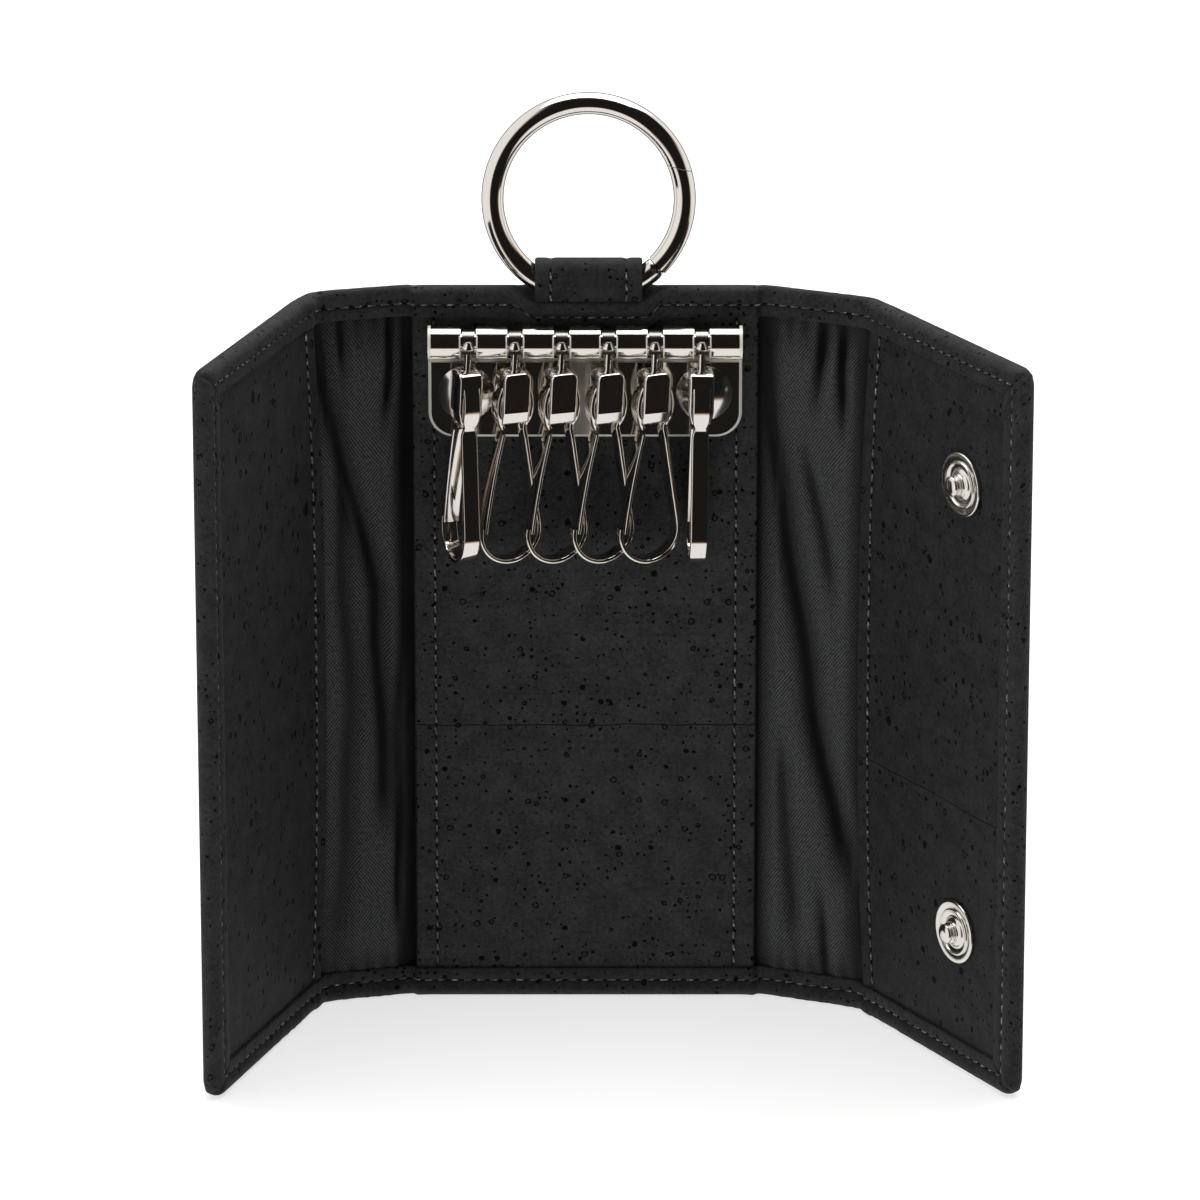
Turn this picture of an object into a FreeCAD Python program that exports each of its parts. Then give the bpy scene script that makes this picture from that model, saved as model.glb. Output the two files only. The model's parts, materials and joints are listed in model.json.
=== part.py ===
import FreeCAD, Part
import os
import re
from math import acos, atan2, cos, pi, radians, sin
from types import SimpleNamespace

from FreeCAD import Placement, Rotation, Vector

# Driving lengths, in millimetres
LENGTHS = {
    # Case
    "case_height": 121.0,
    "centre_width": 54.9,
    "left_fold_width": 16.2,
    "right_fold_width": 18.8,
    "flap_width": 43.0,
    "cork_thickness": 0.8,
    "board_thickness": 0.5,
    "panel_thickness": 1.2,
    "lining_thickness": 0.4,
    "lining_rise": 0.1,
    "hem_width": 5.0,
    "crease_gap": 0.15,
    "flap_hem_relief": 1.6,
    "fold_hem_relief": 0.6,
    "flap_corner_radius": 2.6,
    "panel_tuck": 2.2,
    "board_inset": 2.6,
    "cut_overrun": 1.0,
    # Ring and its strap
    "strap_width": 17.0,
    "strap_shift": 0.55,
    "strap_thickness": 0.85,
    "strap_clearance": 0.25,
    "strap_side_gap": 2.4,
    "strap_floor_gap": 0.2,
    "strap_lift": -1.45,
    "strap_tail_length": 11.0,
    "ring_radius": 15.20,
    "ring_wire_radius": 1.76,
    "ring_mitre_gap": 0.12,
    "ring_mitre_reach": 5.0,
    "ring_tongue_thickness": 0.9,
    "ring_tongue_radius": 1.2,
    "ring_tongue_length": 2.9,
    "ring_slot_clearance": 0.1,
    "ring_knuckle_clearance": 0.25,
    "ring_pin_radius": 0.4,
    "ring_pin_length": 3.2,
    "ring_pin_clearance": 0.06,
    "ring_pin_seat": 0.02,
    # Key bar
    "bar_length": 49.8,
    "bar_drop": 8.35,
    "tube_radius": 2.65,
    "tube_wall": 0.9,
    "plate_thickness": 1.1,
    "plate_top_drop": 3.5,
    "plate_bottom_drop": 16.4,
    "plate_corner_radius": 4.2,
    "plate_chamfer": 0.4,
    "web_thickness": 0.6,
    "rod_clearance": 0.05,
    "rod_inset": 0.2,
    "slot_width": 2.5,
    "slot_clearance": 0.05,
    "hook_pitch": 7.39,
    "rivet_radius": 4.5,
    "rivet_rise": 1.4,
    "rivet_shank_radius": 1.5,
    "rivet_drop": 9.0,
    "rivet_spacing": 37.8,
    "rivet_clearance": 0.05,
    "washer_radius": 3.0,
    "washer_clearance": 0.1,
    # Hook saddle and swivel pin
    "saddle_width": 2.0,
    "saddle_wall": 0.32,
    "saddle_clearance": 0.08,
    "tongue_reach": 4.6,
    "tongue_thickness": 0.6,
    "pin_reach": 3.4,
    "pin_radius": 0.58,
    "pin_clearance": 0.07,
    "pin_head_radius": 0.95,
    "pin_head_height": 0.9,
    "pin_head_gap": 0.05,
    # Hook clip, loop and gate
    "clip_width": 4.7,
    "clip_depth": 4.0,
    "clip_top_drop": 3.6,
    "clip_bottom_drop": 12.1,
    "clip_bridge": 0.8,
    "clip_shoulder_radius": 0.65,
    "clip_clearance": 0.05,
    "clip_chamfer": 0.15,
    "foot_height": 2.0,
    "foot_inset": 0.4,
    "foot_corner_radius": 0.7,
    "strip_width": 2.8,
    "strip_thickness": 0.75,
    "arm_top_half": 1.2,
    "arm_bulge_half": 2.75,
    "arm_bulge_drop": 8.3,
    "waist_half": 1.75,
    "waist_drop": 12.9,
    "notch_drop": 12.6,
    "waist_notch_radius": 1.6,
    "waist_notch_depth": 0.4,
    "loop_radius": 5.0,
    "loop_drop": 30.25,
    "gate_thickness": 0.6,
    "gate_root_gap": 0.3,
    "gate_nose_gap": 0.15,
    "gate_end_drop": 30.2,
    "gate_bow": 0.25,
    # Press studs
    "stud_reach": 26.5,
    "stud_spacing": 75.0,
    "stud_radius": 5.2,
    "stud_flange": 0.5,
    "stud_rim_radius": 0.3,
    "stud_rim_lift": 0.4,
    "stud_step_radius": 2.6,
    "stud_step_height": 0.8,
    "stud_neck_radius": 1.35,
    "stud_bead_radius": 1.6,
    "stud_bead_wire": 0.45,
    "stud_height": 2.7,
    "post_shank_radius": 1.2,
    "post_radius": 4.0,
    "socket_radius": 5.0,
    "socket_flange": 0.6,
    "socket_barrel_radius": 2.9,
    "socket_bore_radius": 2.0,
    "socket_groove_radius": 2.35,
    "socket_groove_width": 0.6,
    "socket_spring_radius": 2.0,
    "socket_wire_radius": 0.22,
    "socket_washer_radius": 4.2,
    "socket_margin": 9.4,
    "snap_clearance": 0.05,
}

# Angles, in degrees
ANGLES = {
    "left_inner_angle": 13.9,
    "left_outer_angle": 55.2,
    "right_inner_angle": 21.2,
    "right_outer_angle": 37.0,
    "left_closed_angle": 65.0,
    "right_closed_angle": 95.0,
    "ring_lean_angle": 9.0,
    "ring_pivot_angle": -48.0,
    "ring_end_angle": 19.0,
    "ring_margin_angle": 15.0,
    "nose_angle": 10.0,
}
HOOK_SWIVEL_ANGLES = {1: 68.0, 2: -23.4, 3: -23.4, 4: -23.4, 5: -23.4, 6: 86.7}
HOOK_LEAN_ANGLES = {1: 2.6, 2: 2.4, 3: 2.4, 4: 2.4, 5: 2.4, 6: 1.4}
HOOK_MIDDLE = sum(HOOK_SWIVEL_ANGLES) / len(HOOK_SWIVEL_ANGLES)
SIDES = {"left": -1, "right": 1}
AXES = {
    "x": Rotation(Vector(0, 1, 0), 90),
    "back": Rotation(Vector(1, 0, 0), -90),
    "front": Rotation(Vector(1, 0, 0), 90),
    "z": Rotation(),
}

size = SimpleNamespace(**LENGTHS, **ANGLES)
doc = FreeCAD.newDocument("KeyCase")
sheet = doc.addObject("Spreadsheet::Sheet", "Sizes")
for row, (alias, value) in enumerate({**LENGTHS, **ANGLES}.items(), start=1):
    sheet.set(f"A{row}", alias)
    sheet.set(f"B{row}", str(value))
    sheet.setAlias(f"B{row}", alias)
doc.recompute()
nodes = []


def cells(text):
    """Turns the size names in an expression into references to the sheet."""
    return re.sub(r"\b[a-z]+(?:_[a-z]+)+\b", lambda found: "Sizes." + found.group(0), text)


def bind(solid, base=("0", "0", "0"), **sizes):
    """Binds a primitive's sizes and its base point to the sheet."""
    for name, expression in sizes.items():
        solid.setExpression(name, cells(expression))
    for axis, expression in zip("xyz", base):
        solid.setExpression(f"Placement.Base.{axis}", cells(expression))
    return solid


def box(name, x, y, z):
    """A box between two expressions along each axis."""
    solid = doc.addObject("Part::Box", name)
    length, width, height = (f"({high}) - ({low})" for low, high in (x, y, z))
    return bind(solid, (x[0], y[0], z[0]), Length=length, Width=width, Height=height)


def cylinder(name, radius, length, base, axis="z"):
    solid = doc.addObject("Part::Cylinder", name)
    solid.Placement = Placement(Vector(), AXES[axis])
    return bind(solid, base, Radius=radius, Height=length)


def torus(name, radius, wire, base, axis="z"):
    solid = doc.addObject("Part::Torus", name)
    solid.Placement = Placement(Vector(), AXES[axis])
    return bind(solid, base, Radius1=radius, Radius2=wire)


def fuse(name, *solids):
    joined = doc.addObject("Part::MultiFuse", name)
    joined.Shapes = list(solids)
    return joined


def cut(name, base, *tools):
    trimmed = doc.addObject("Part::Cut", name)
    trimmed.Base = base
    trimmed.Tool = tools[0] if len(tools) == 1 else fuse(name + "_cutter", *tools)
    return trimmed


def dress(kind, name, base, radius, wanted):
    """A fillet or chamfer on the edges of base that wanted picks."""
    doc.recompute()
    dressed = doc.addObject(kind, name)
    dressed.Base = base
    dressed.Edges = [(i, radius, radius) for i, edge in enumerate(base.Shape.Edges, start=1) if wanted(edge)]
    return dressed


def along(edge, axis):
    """Whether a straight edge runs along an axis."""
    ends = [vertex.Point for vertex in edge.Vertexes]
    return len(ends) == 2 and abs((ends[1] - ends[0]).normalize().dot(axis)) > cos(radians(1))


def node(label, *solids, place=None):
    """Makes one named sub-part of one or more solids, set in its place."""
    part = doc.addObject("Part::Compound", label)
    part.Label = label
    part.Links = list(solids)
    part.Placement = place or Placement()
    nodes.append(part)
    return part


def mirrored(side, near, far):
    """The span from near to far on the right, or its mirror on the left."""
    return (near, far) if side > 0 else (f"-({far})", f"-({near})")


def turn(axis, angle):
    return Placement(Vector(), Rotation(axis, angle))


def shift(x, y, z):
    return Placement(Vector(x, y, z), Rotation())


# Depths of the layers, with the panels' backs at zero and the viewer at minus Y
PANEL_FRONT = "-panel_thickness"
LIP_FRONT = "-(panel_thickness + cork_thickness)"
LINING_FRONT = "-lining_rise"
FOLD_LIP_FRONT = "-(lining_rise + cork_thickness)"
BOARD_BACK = "board_thickness"
CASE_BACK = "board_thickness + cork_thickness"
INSIDE_HEIGHT = ("cork_thickness", "case_height - cork_thickness")
WINDOW_HEIGHT = ("hem_width", "case_height - hem_width")
WHOLE_HEIGHT = ("-cut_overrun", "case_height + cut_overrun")
PANEL_HEIGHT = ("panel_tuck", "case_height - panel_tuck")
BOARD_HEIGHT = ("board_inset", "case_height - board_inset")
ROD_BASE = ("-(panel_thickness + tube_radius)", "case_height - bar_drop")
STUD_HEIGHTS = ("case_height / 2 - stud_spacing / 2", "case_height / 2 + stud_spacing / 2")
STRAP_BODY = "(ring_wire_radius + strap_clearance + strap_thickness)"
# The sockets lie where the studs meet them in the closed case, and the left flap ends a margin beyond them
SOCKET_REACH = ("(centre_width + right_fold_width * cos(right_closed_angle)"
                " + left_fold_width * cos(left_closed_angle) - stud_reach)")
SNAP_PLACES = {"left": f"-{SOCKET_REACH}", "right": "stud_reach"}
FLAP_WIDTHS = {"left": f"{SOCKET_REACH} + socket_margin", "right": "flap_width"}


def fold_place(side, fold_angle):
    """Where a fold zone lies when it is turned about its inner crease."""
    hinge = shift(side * size.centre_width / 2, -size.panel_thickness, 0)
    return hinge * turn(Vector(0, 0, 1), -side * fold_angle) * shift(0, size.panel_thickness, 0)


def flap_place(side, fold_width, fold_angle, flap_angle):
    """Where a flap lies when it is turned about the outer crease of its fold zone."""
    hinge = fold_place(side, fold_angle) * shift(side * fold_width, -size.panel_thickness, 0)
    return hinge * turn(Vector(0, 0, 1), -side * flap_angle) * shift(0, size.panel_thickness, 0)


def centre():
    """The middle of the case: outer cork with turned edges, board, panel and the strap's sewn end."""
    wide = ("-centre_width / 2 + crease_gap", "centre_width / 2 - crease_gap")
    block = box("centre_block", wide, (LIP_FRONT, CASE_BACK), ("0", "case_height"))
    over = ("-centre_width / 2", "centre_width / 2")
    pocket = box("centre_pocket", over, (PANEL_FRONT, BOARD_BACK), INSIDE_HEIGHT)
    window = box("centre_window", over, (LIP_FRONT + " - cut_overrun", PANEL_FRONT), WINDOW_HEIGHT)
    notch_wide = ("strap_shift - strap_width / 2 - strap_side_gap", "strap_shift + strap_width / 2 + strap_side_gap")
    notch_floor = f"case_height + strap_lift - {STRAP_BODY} - strap_floor_gap"
    notch = box("strap_notch", notch_wide,
                (LIP_FRONT + " - cut_overrun", CASE_BACK + " + cut_overrun"), (notch_floor, WHOLE_HEIGHT[1]))
    node("centre_shell", cut("centre_cork", block, pocket, window, notch))

    panel = box("centre_panel_sheet", wide, (PANEL_FRONT, "0"), PANEL_HEIGHT)
    board = box("centre_board_sheet", wide, ("0", BOARD_BACK), BOARD_HEIGHT)
    tail_base = f"{notch_floor} - strap_tail_length"
    room = box("tail_room", notch_wide, ("-cut_overrun", BOARD_BACK + " + cut_overrun"),
               (f"{tail_base} - strap_side_gap", WHOLE_HEIGHT[1]))
    shanks = []
    seats = []
    for place, x in rivet_columns().items():
        base = (x, f"{PANEL_FRONT} - cut_overrun", rivet_height())
        shanks.append(cylinder(f"{place}_shank_hole", "rivet_shank_radius + rivet_clearance",
                               "panel_thickness + 2 * cut_overrun", base, "back"))
        seats.append(cylinder(f"{place}_washer_seat", "washer_radius + washer_clearance",
                              "panel_thickness + board_thickness + 2 * cut_overrun", base, "back"))
    node("centre_panel", cut("centre_panel_cork", panel, notch, *shanks))
    node("centre_board", cut("centre_board_card", board, room, *seats))
    tail_wide = ("strap_shift - strap_width / 2", "strap_shift + strap_width / 2")
    node("ring_strap_tail", box("strap_tail", tail_wide, ("0", BOARD_BACK), (tail_base, notch_floor)))


def fold(name, side):
    """One fold zone: outer cork with turned edges at the top and bottom, and the lining."""
    width = f"{name}_fold_width"
    place = fold_place(side, getattr(size, f"{name}_inner_angle"))
    span = mirrored(side, "crease_gap", f"{width} - crease_gap")
    whole = mirrored(side, "0", width)
    block = box(f"{name}_fold_block", span, (FOLD_LIP_FRONT, CASE_BACK), ("0", "case_height"))
    pocket = box(f"{name}_fold_pocket", whole, (LINING_FRONT, BOARD_BACK), INSIDE_HEIGHT)
    lip = (FOLD_LIP_FRONT + " - cut_overrun", LINING_FRONT)
    window = box(f"{name}_fold_window", whole, lip, WINDOW_HEIGHT)
    inner = box(f"{name}_inner_relief", mirrored(side, "0", "fold_hem_relief"), lip, WHOLE_HEIGHT)
    outer = box(f"{name}_outer_relief", mirrored(side, f"{width} - fold_hem_relief", width), lip,
                WHOLE_HEIGHT)
    node(f"{name}_fold_shell", cut(f"{name}_fold_cork", block, pocket, window, inner, outer), place=place)
    lining = box(f"{name}_lining_cloth", span, (LINING_FRONT, "lining_thickness - lining_rise"), PANEL_HEIGHT)
    node(f"{name}_lining", lining, place=place)


def flap(name, side):
    """One flap: outer cork turned in on three sides, board and inner panel, holed for the press studs."""
    place = flap_place(side, getattr(size, f"{name}_fold_width"),
                       getattr(size, f"{name}_inner_angle"), getattr(size, f"{name}_outer_angle"))
    width = FLAP_WIDTHS[name]
    block = box(f"{name}_flap_block", mirrored(side, "crease_gap", width),
                (LIP_FRONT, CASE_BACK), ("0", "case_height"))
    rounded = dress("Part::Fillet", f"{name}_flap_rounded", block, size.flap_corner_radius,
                    lambda edge: along(edge, Vector(0, 1, 0)) and abs(edge.CenterOfMass.x) > size.hem_width)
    pocket = box(f"{name}_flap_pocket", mirrored(side, "0", f"{width} - cork_thickness"),
                 (PANEL_FRONT, BOARD_BACK), INSIDE_HEIGHT)
    lip = (LIP_FRONT + " - cut_overrun", PANEL_FRONT)
    window = box(f"{name}_flap_window", mirrored(side, "0", f"{width} - hem_width"), lip, WINDOW_HEIGHT)
    relief = box(f"{name}_flap_relief", mirrored(side, "0", "flap_hem_relief"), lip, WHOLE_HEIGHT)
    panel = box(f"{name}_panel_sheet", mirrored(side, "crease_gap", f"{width} - panel_tuck"),
                (PANEL_FRONT, "0"), PANEL_HEIGHT)
    board = box(f"{name}_board_sheet", mirrored(side, "crease_gap", f"{width} - board_inset"),
                ("0", BOARD_BACK), BOARD_HEIGHT)
    holes = {"shell": [], "panel": [], "board": []}
    deep = "panel_thickness + board_thickness + cork_thickness + 2 * cut_overrun"
    layers = {
        "left": {"shell": "socket_barrel_radius + snap_clearance",
                 "board": "socket_washer_radius + snap_clearance"},
        "right": {"panel": "post_shank_radius + snap_clearance", "board": "post_radius + snap_clearance"},
    }
    for row, height in enumerate(STUD_HEIGHTS):
        base = (SNAP_PLACES[name], LIP_FRONT, height)
        for layer, radius in layers[name].items():
            start = base if layer != "shell" else (base[0], "0", height)
            holes[layer].append(cylinder(f"{name}_{layer}_hole_{row}", radius, deep, start, "back"))
    cork = cut(f"{name}_flap_cork", rounded, pocket, window, relief, *holes["shell"])
    node(f"{name}_flap_shell", cork, place=place)
    inner = cut(f"{name}_panel_cork", panel, *holes["panel"]) if holes["panel"] else panel
    node(f"{name}_panel", inner, place=place)
    node(f"{name}_board", cut(f"{name}_board_card", board, *holes["board"]), place=place)
    return place


def studs(place):
    """Two studs on the right flap, each with a rimmed flange, a step and a beaded neck, and their posts."""
    whole = []
    posts = []
    for row, height in enumerate(STUD_HEIGHTS):
        base = (SNAP_PLACES["right"], PANEL_FRONT, height)
        rim_base = (base[0], f"{PANEL_FRONT} - stud_rim_lift", height)
        bead_base = (base[0], f"{PANEL_FRONT} - stud_height + stud_bead_wire", height)
        whole.append(fuse(
            f"stud_{row}",
            cylinder(f"stud_flange_{row}", "stud_radius - stud_rim_radius", "stud_flange", base, "front"),
            torus(f"stud_rim_{row}", "stud_radius - stud_rim_radius", "stud_rim_radius", rim_base, "front"),
            cylinder(f"stud_step_{row}", "stud_step_radius", "stud_step_height", base, "front"),
            cylinder(f"stud_neck_{row}", "stud_neck_radius", "stud_height - stud_bead_wire / 2", base, "front"),
            torus(f"stud_bead_{row}", "stud_bead_radius - stud_bead_wire", "stud_bead_wire", bead_base, "front")))
        shank = cylinder(f"post_shank_{row}", "post_shank_radius", "panel_thickness", base, "back")
        disc = cylinder(f"post_disc_{row}", "post_radius", "board_thickness", (base[0], "0", height), "back")
        posts.append(fuse(f"post_{row}", shank, disc))
    node("studs", *whole, place=place)
    node("stud_posts", *posts, place=place)


def sockets(place):
    """Two sockets through the left flap's outer cork, each with a wire spring and an inside washer."""
    whole = []
    springs = []
    washers = []
    for row, height in enumerate(STUD_HEIGHTS):
        x = SNAP_PLACES["left"]
        groove_middle = f"({CASE_BACK} - socket_groove_width)"
        groove_base = (x, f"{groove_middle} - socket_groove_width / 2", height)
        body = fuse(
            f"socket_body_{row}",
            cylinder(f"socket_flange_{row}", "socket_radius", "socket_flange",
                     (x, CASE_BACK, height), "back"),
            cylinder(f"socket_barrel_{row}", "socket_barrel_radius", CASE_BACK, (x, "0", height), "back"))
        bore = cylinder(f"socket_bore_{row}", "socket_bore_radius",
                        f"{CASE_BACK} + socket_flange + 2 * cut_overrun", (x, "-cut_overrun", height), "back")
        groove = cylinder(f"socket_groove_{row}", "socket_groove_radius", "socket_groove_width",
                          groove_base, "back")
        whole.append(cut(f"socket_{row}", body, bore, groove))
        springs.append(torus(f"socket_spring_{row}", "socket_spring_radius", "socket_wire_radius",
                             (x, groove_middle, height), "back"))
        disc = cylinder(f"socket_disc_{row}", "socket_washer_radius", "board_thickness",
                        (x, "0", height), "back")
        hole = cylinder(f"socket_disc_hole_{row}", "socket_barrel_radius + snap_clearance",
                        "board_thickness + 2 * cut_overrun", (x, "-cut_overrun", height), "back")
        washers.append(cut(f"socket_washer_{row}", disc, hole))
    node("sockets", *whole, place=place)
    node("socket_springs", *springs, place=place)
    node("socket_washers", *washers, place=place)


def rivet_columns():
    return {"left": "-rivet_spacing / 2", "right": "rivet_spacing / 2"}


def rivet_height():
    return "case_height - bar_drop - rivet_drop"


def key_bar():
    """The nickel plate with its rolled top, the rod in it, the two domed rivets and their washers."""
    rod_y, rod_z = ROD_BASE
    half = "bar_length / 2"
    plate_front = f"{PANEL_FRONT} - plate_thickness"
    slab = box("plate_slab", (f"-{half}", half), (plate_front, PANEL_FRONT),
               (f"{rod_z} - plate_bottom_drop", f"{rod_z} - plate_top_drop"))
    low = size.case_height - size.bar_drop - size.plate_bottom_drop + size.plate_corner_radius
    cornered = dress("Part::Fillet", "plate_cornered", slab, size.plate_corner_radius,
                     lambda edge: along(edge, Vector(0, 1, 0)) and edge.CenterOfMass.z < low)
    face_y = -size.panel_thickness - size.plate_thickness
    bevelled = dress("Part::Chamfer", "plate_bevelled", cornered, size.plate_chamfer,
                     lambda edge: abs(edge.BoundBox.YMin - face_y) < size.plate_chamfer
                     and edge.BoundBox.YLength < size.plate_chamfer)
    web = box("plate_web", (f"-{half}", half), (f"{PANEL_FRONT} - web_thickness", PANEL_FRONT),
              (f"{rod_z} - plate_top_drop", rod_z))
    tube = cylinder("plate_tube", "tube_radius", "bar_length", (f"-{half}", rod_y, rod_z), "x")
    bore = cylinder("plate_bore", "tube_radius - tube_wall", "bar_length + 2 * cut_overrun",
                    (f"-{half} - cut_overrun", rod_y, rod_z), "x")
    slots = [cylinder(f"plate_slot_{n}", "tube_radius + slot_clearance", "slot_width",
                      (f"{n - HOOK_MIDDLE} * hook_pitch - slot_width / 2", rod_y, rod_z), "x")
             for n in HOOK_SWIVEL_ANGLES]
    holes = []
    rivets = []
    washers = []
    for place, x in rivet_columns().items():
        seat = (x, plate_front, rivet_height())
        holes.append(cylinder(f"{place}_plate_hole", "rivet_shank_radius + rivet_clearance",
                              "plate_thickness + 2 * cut_overrun",
                              (x, f"{plate_front} - cut_overrun", rivet_height()), "back"))
        ball_radius = "(rivet_radius ^ 2 + rivet_rise ^ 2) / (2 * rivet_rise)"
        ball = bind(doc.addObject("Part::Sphere", f"{place}_rivet_ball"),
                    (x, f"{plate_front} - rivet_rise + {ball_radius}", rivet_height()), Radius=ball_radius)
        disc = cylinder(f"{place}_rivet_disc", "rivet_radius", "2 * rivet_rise", seat, "front")
        cap = doc.addObject("Part::Common", f"{place}_rivet_cap")
        cap.Base = ball
        cap.Tool = disc
        shank = cylinder(f"{place}_rivet_shank", "rivet_shank_radius",
                         "plate_thickness + panel_thickness + board_thickness", seat, "back")
        rivets.append(fuse(f"{place}_rivet", cap, shank))
        back = (x, "0", rivet_height())
        plain = cylinder(f"{place}_washer_disc", "washer_radius", "board_thickness", back, "back")
        hole = cylinder(f"{place}_washer_hole", "rivet_shank_radius + rivet_clearance",
                        "board_thickness + 2 * cut_overrun", (x, "-cut_overrun", rivet_height()), "back")
        washers.append(cut(f"{place}_washer", plain, hole))
    node("hook_plate", cut("plate_whole", fuse("plate_joined", bevelled, web, tube), bore, *slots, *holes))
    node("hook_rod", cylinder("rod", "tube_radius - tube_wall - rod_clearance", "bar_length - 2 * rod_inset",
                              (f"-{half} + rod_inset", rod_y, rod_z), "x"))
    node("plate_rivets", *rivets)
    node("rivet_washers", *washers)


def saddle(n, place):
    """An eye round the rod with a tongue in front that holds the swivel pin."""
    eye_radius = "(tube_radius - tube_wall - rod_clearance + saddle_clearance + saddle_wall)"
    across = ("-saddle_width / 2", "saddle_width / 2")
    eye = cylinder(f"eye_{n}", eye_radius, "saddle_width", (across[0], "0", "0"), "x")
    tongue = box(f"tongue_{n}", across, ("-tongue_reach", "0"), ("-tongue_thickness", "0"))
    bore = cylinder(f"eye_bore_{n}", "tube_radius - tube_wall - rod_clearance + saddle_clearance",
                    "saddle_width + 2 * cut_overrun", (f"{across[0]} - cut_overrun", "0", "0"), "x")
    hole = cylinder(f"tongue_hole_{n}", "pin_radius + pin_clearance", "tongue_thickness + 2 * cut_overrun",
                    ("0", "-pin_reach", "-tongue_thickness - cut_overrun"))
    whole = fuse(f"saddle_whole_{n}", eye, tongue)
    node(f"hook_{n}_saddle", cut(f"saddle_{n}", whole, bore, hole), place=place)


def clip_shape():
    """A stamped clip, two plates under a bridge, whose feet lean in and whose sides are open."""
    outside = size.clip_depth / 2
    inside = size.strip_width / 2 + size.clip_clearance
    knee = size.clip_bottom_drop - size.foot_height
    half = [(outside, size.clip_top_drop), (outside, knee),
            (outside - size.foot_inset, size.clip_bottom_drop), (inside, size.clip_bottom_drop),
            (inside, size.clip_top_drop + size.clip_bridge)]
    outline = half + [(-y, drop) for y, drop in reversed(half)]
    corners = [Vector(-size.clip_width / 2, y, -drop) for y, drop in outline]
    return Part.Face(Part.makePolygon(corners + corners[:1])).extrude(Vector(size.clip_width, 0, 0))


def head(n, place):
    """The swivel pin with its domed head, riveted into the clip."""
    plain = doc.addObject("Part::Feature", f"clip_plain_{n}")
    plain.Shape = clip_shape()
    middle = -(size.clip_top_drop + size.clip_bottom_drop) / 2
    rounded = dress("Part::Fillet", f"clip_rounded_{n}", plain, size.clip_shoulder_radius,
                    lambda edge: along(edge, Vector(0, 1, 0))
                    and edge.CenterOfMass.z > -size.clip_top_drop - size.clip_bridge / 2)
    footed = dress("Part::Fillet", f"clip_footed_{n}", rounded, size.foot_corner_radius,
                   lambda edge: along(edge, Vector(0, 1, 0)) and edge.CenterOfMass.z < middle)
    face_y = size.clip_depth / 2
    clip = dress("Part::Chamfer", f"clip_{n}", footed, size.clip_chamfer,
                 lambda edge: abs(abs(edge.CenterOfMass.y) - face_y) < size.clip_chamfer / 2
                 and edge.BoundBox.YLength < size.clip_chamfer / 2
                 and edge.CenterOfMass.z > size.foot_height - size.clip_bottom_drop)
    shank = cylinder(f"pin_{n}", "pin_radius",
                     "clip_top_drop + clip_bridge + pin_head_gap + pin_head_height / 2",
                     ("0", "0", "-clip_top_drop - clip_bridge"))
    dome = doc.addObject("Part::Cone", f"pin_dome_{n}")
    bind(dome, ("0", "0", "pin_head_gap"), Radius1="pin_head_radius", Radius2="pin_radius",
         Height="pin_head_height")
    node(f"hook_{n}_head", fuse(f"head_{n}", clip, shank, dome), place=place)


def strip(path, thickness):
    """A flat strip bent along a path in the XZ plane, with notches that narrow it at the waist."""
    face = Part.Wire(path).makeOffset2D(thickness / 2, 0, True, False, False)
    face.translate(Vector(0, -size.strip_width / 2, 0))
    solid = face.extrude(Vector(0, size.strip_width, 0))
    notch_y = size.strip_width / 2 - size.waist_notch_depth + size.waist_notch_radius
    for y in (-notch_y, notch_y):
        start = Vector(-size.clip_width, y, -size.notch_drop)
        across = Vector(1, 0, 0)
        solid = solid.cut(Part.makeCylinder(size.waist_notch_radius, 2 * size.clip_width, start, across))
    return solid


def point(x, drop):
    return Vector(x, 0, -drop)


def loop_shape():
    """The carrying strip: over the clip's inside, down the right leg and round to the nose on the left."""
    top_drop = size.clip_top_drop + size.clip_bridge + size.clip_clearance + size.strip_thickness / 2
    middle = point(0, size.loop_drop)
    waist = point(size.waist_half, size.waist_drop)
    reach = waist - middle
    leave = atan2(reach.z, reach.x) - acos(size.loop_radius / reach.Length)
    nose = pi - radians(size.nose_angle)
    tangent, end = (middle + Vector(cos(a), 0, sin(a)) * size.loop_radius for a in (leave, nose))
    left, right = (point(s * size.arm_top_half, top_drop) for s in (-1, 1))
    return strip([
        Part.Arc(point(-size.waist_half, size.waist_drop),
                 point(-size.arm_bulge_half, size.arm_bulge_drop), left).toShape(),
        Part.makeLine(left, right),
        Part.Arc(right, point(size.arm_bulge_half, size.arm_bulge_drop), waist).toShape(),
        Part.makeLine(waist, tangent),
        Part.Arc(tangent, point(0, size.loop_drop + size.loop_radius), end).toShape(),
    ], size.strip_thickness)


def gate_shape():
    """The sprung leg on the left, from just under the waist to the inside of the nose."""
    start = point(-size.waist_half, size.waist_drop + size.strip_thickness / 2 + size.gate_root_gap
                  + size.gate_thickness / 2)
    end = point(-(size.loop_radius - size.strip_thickness / 2 - size.gate_nose_gap - size.gate_thickness / 2),
                size.gate_end_drop)
    middle = (start + end) / 2 + Vector(-size.gate_bow, 0, 0)
    return strip([Part.Arc(start, middle, end).toShape()], size.gate_thickness)


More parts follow.
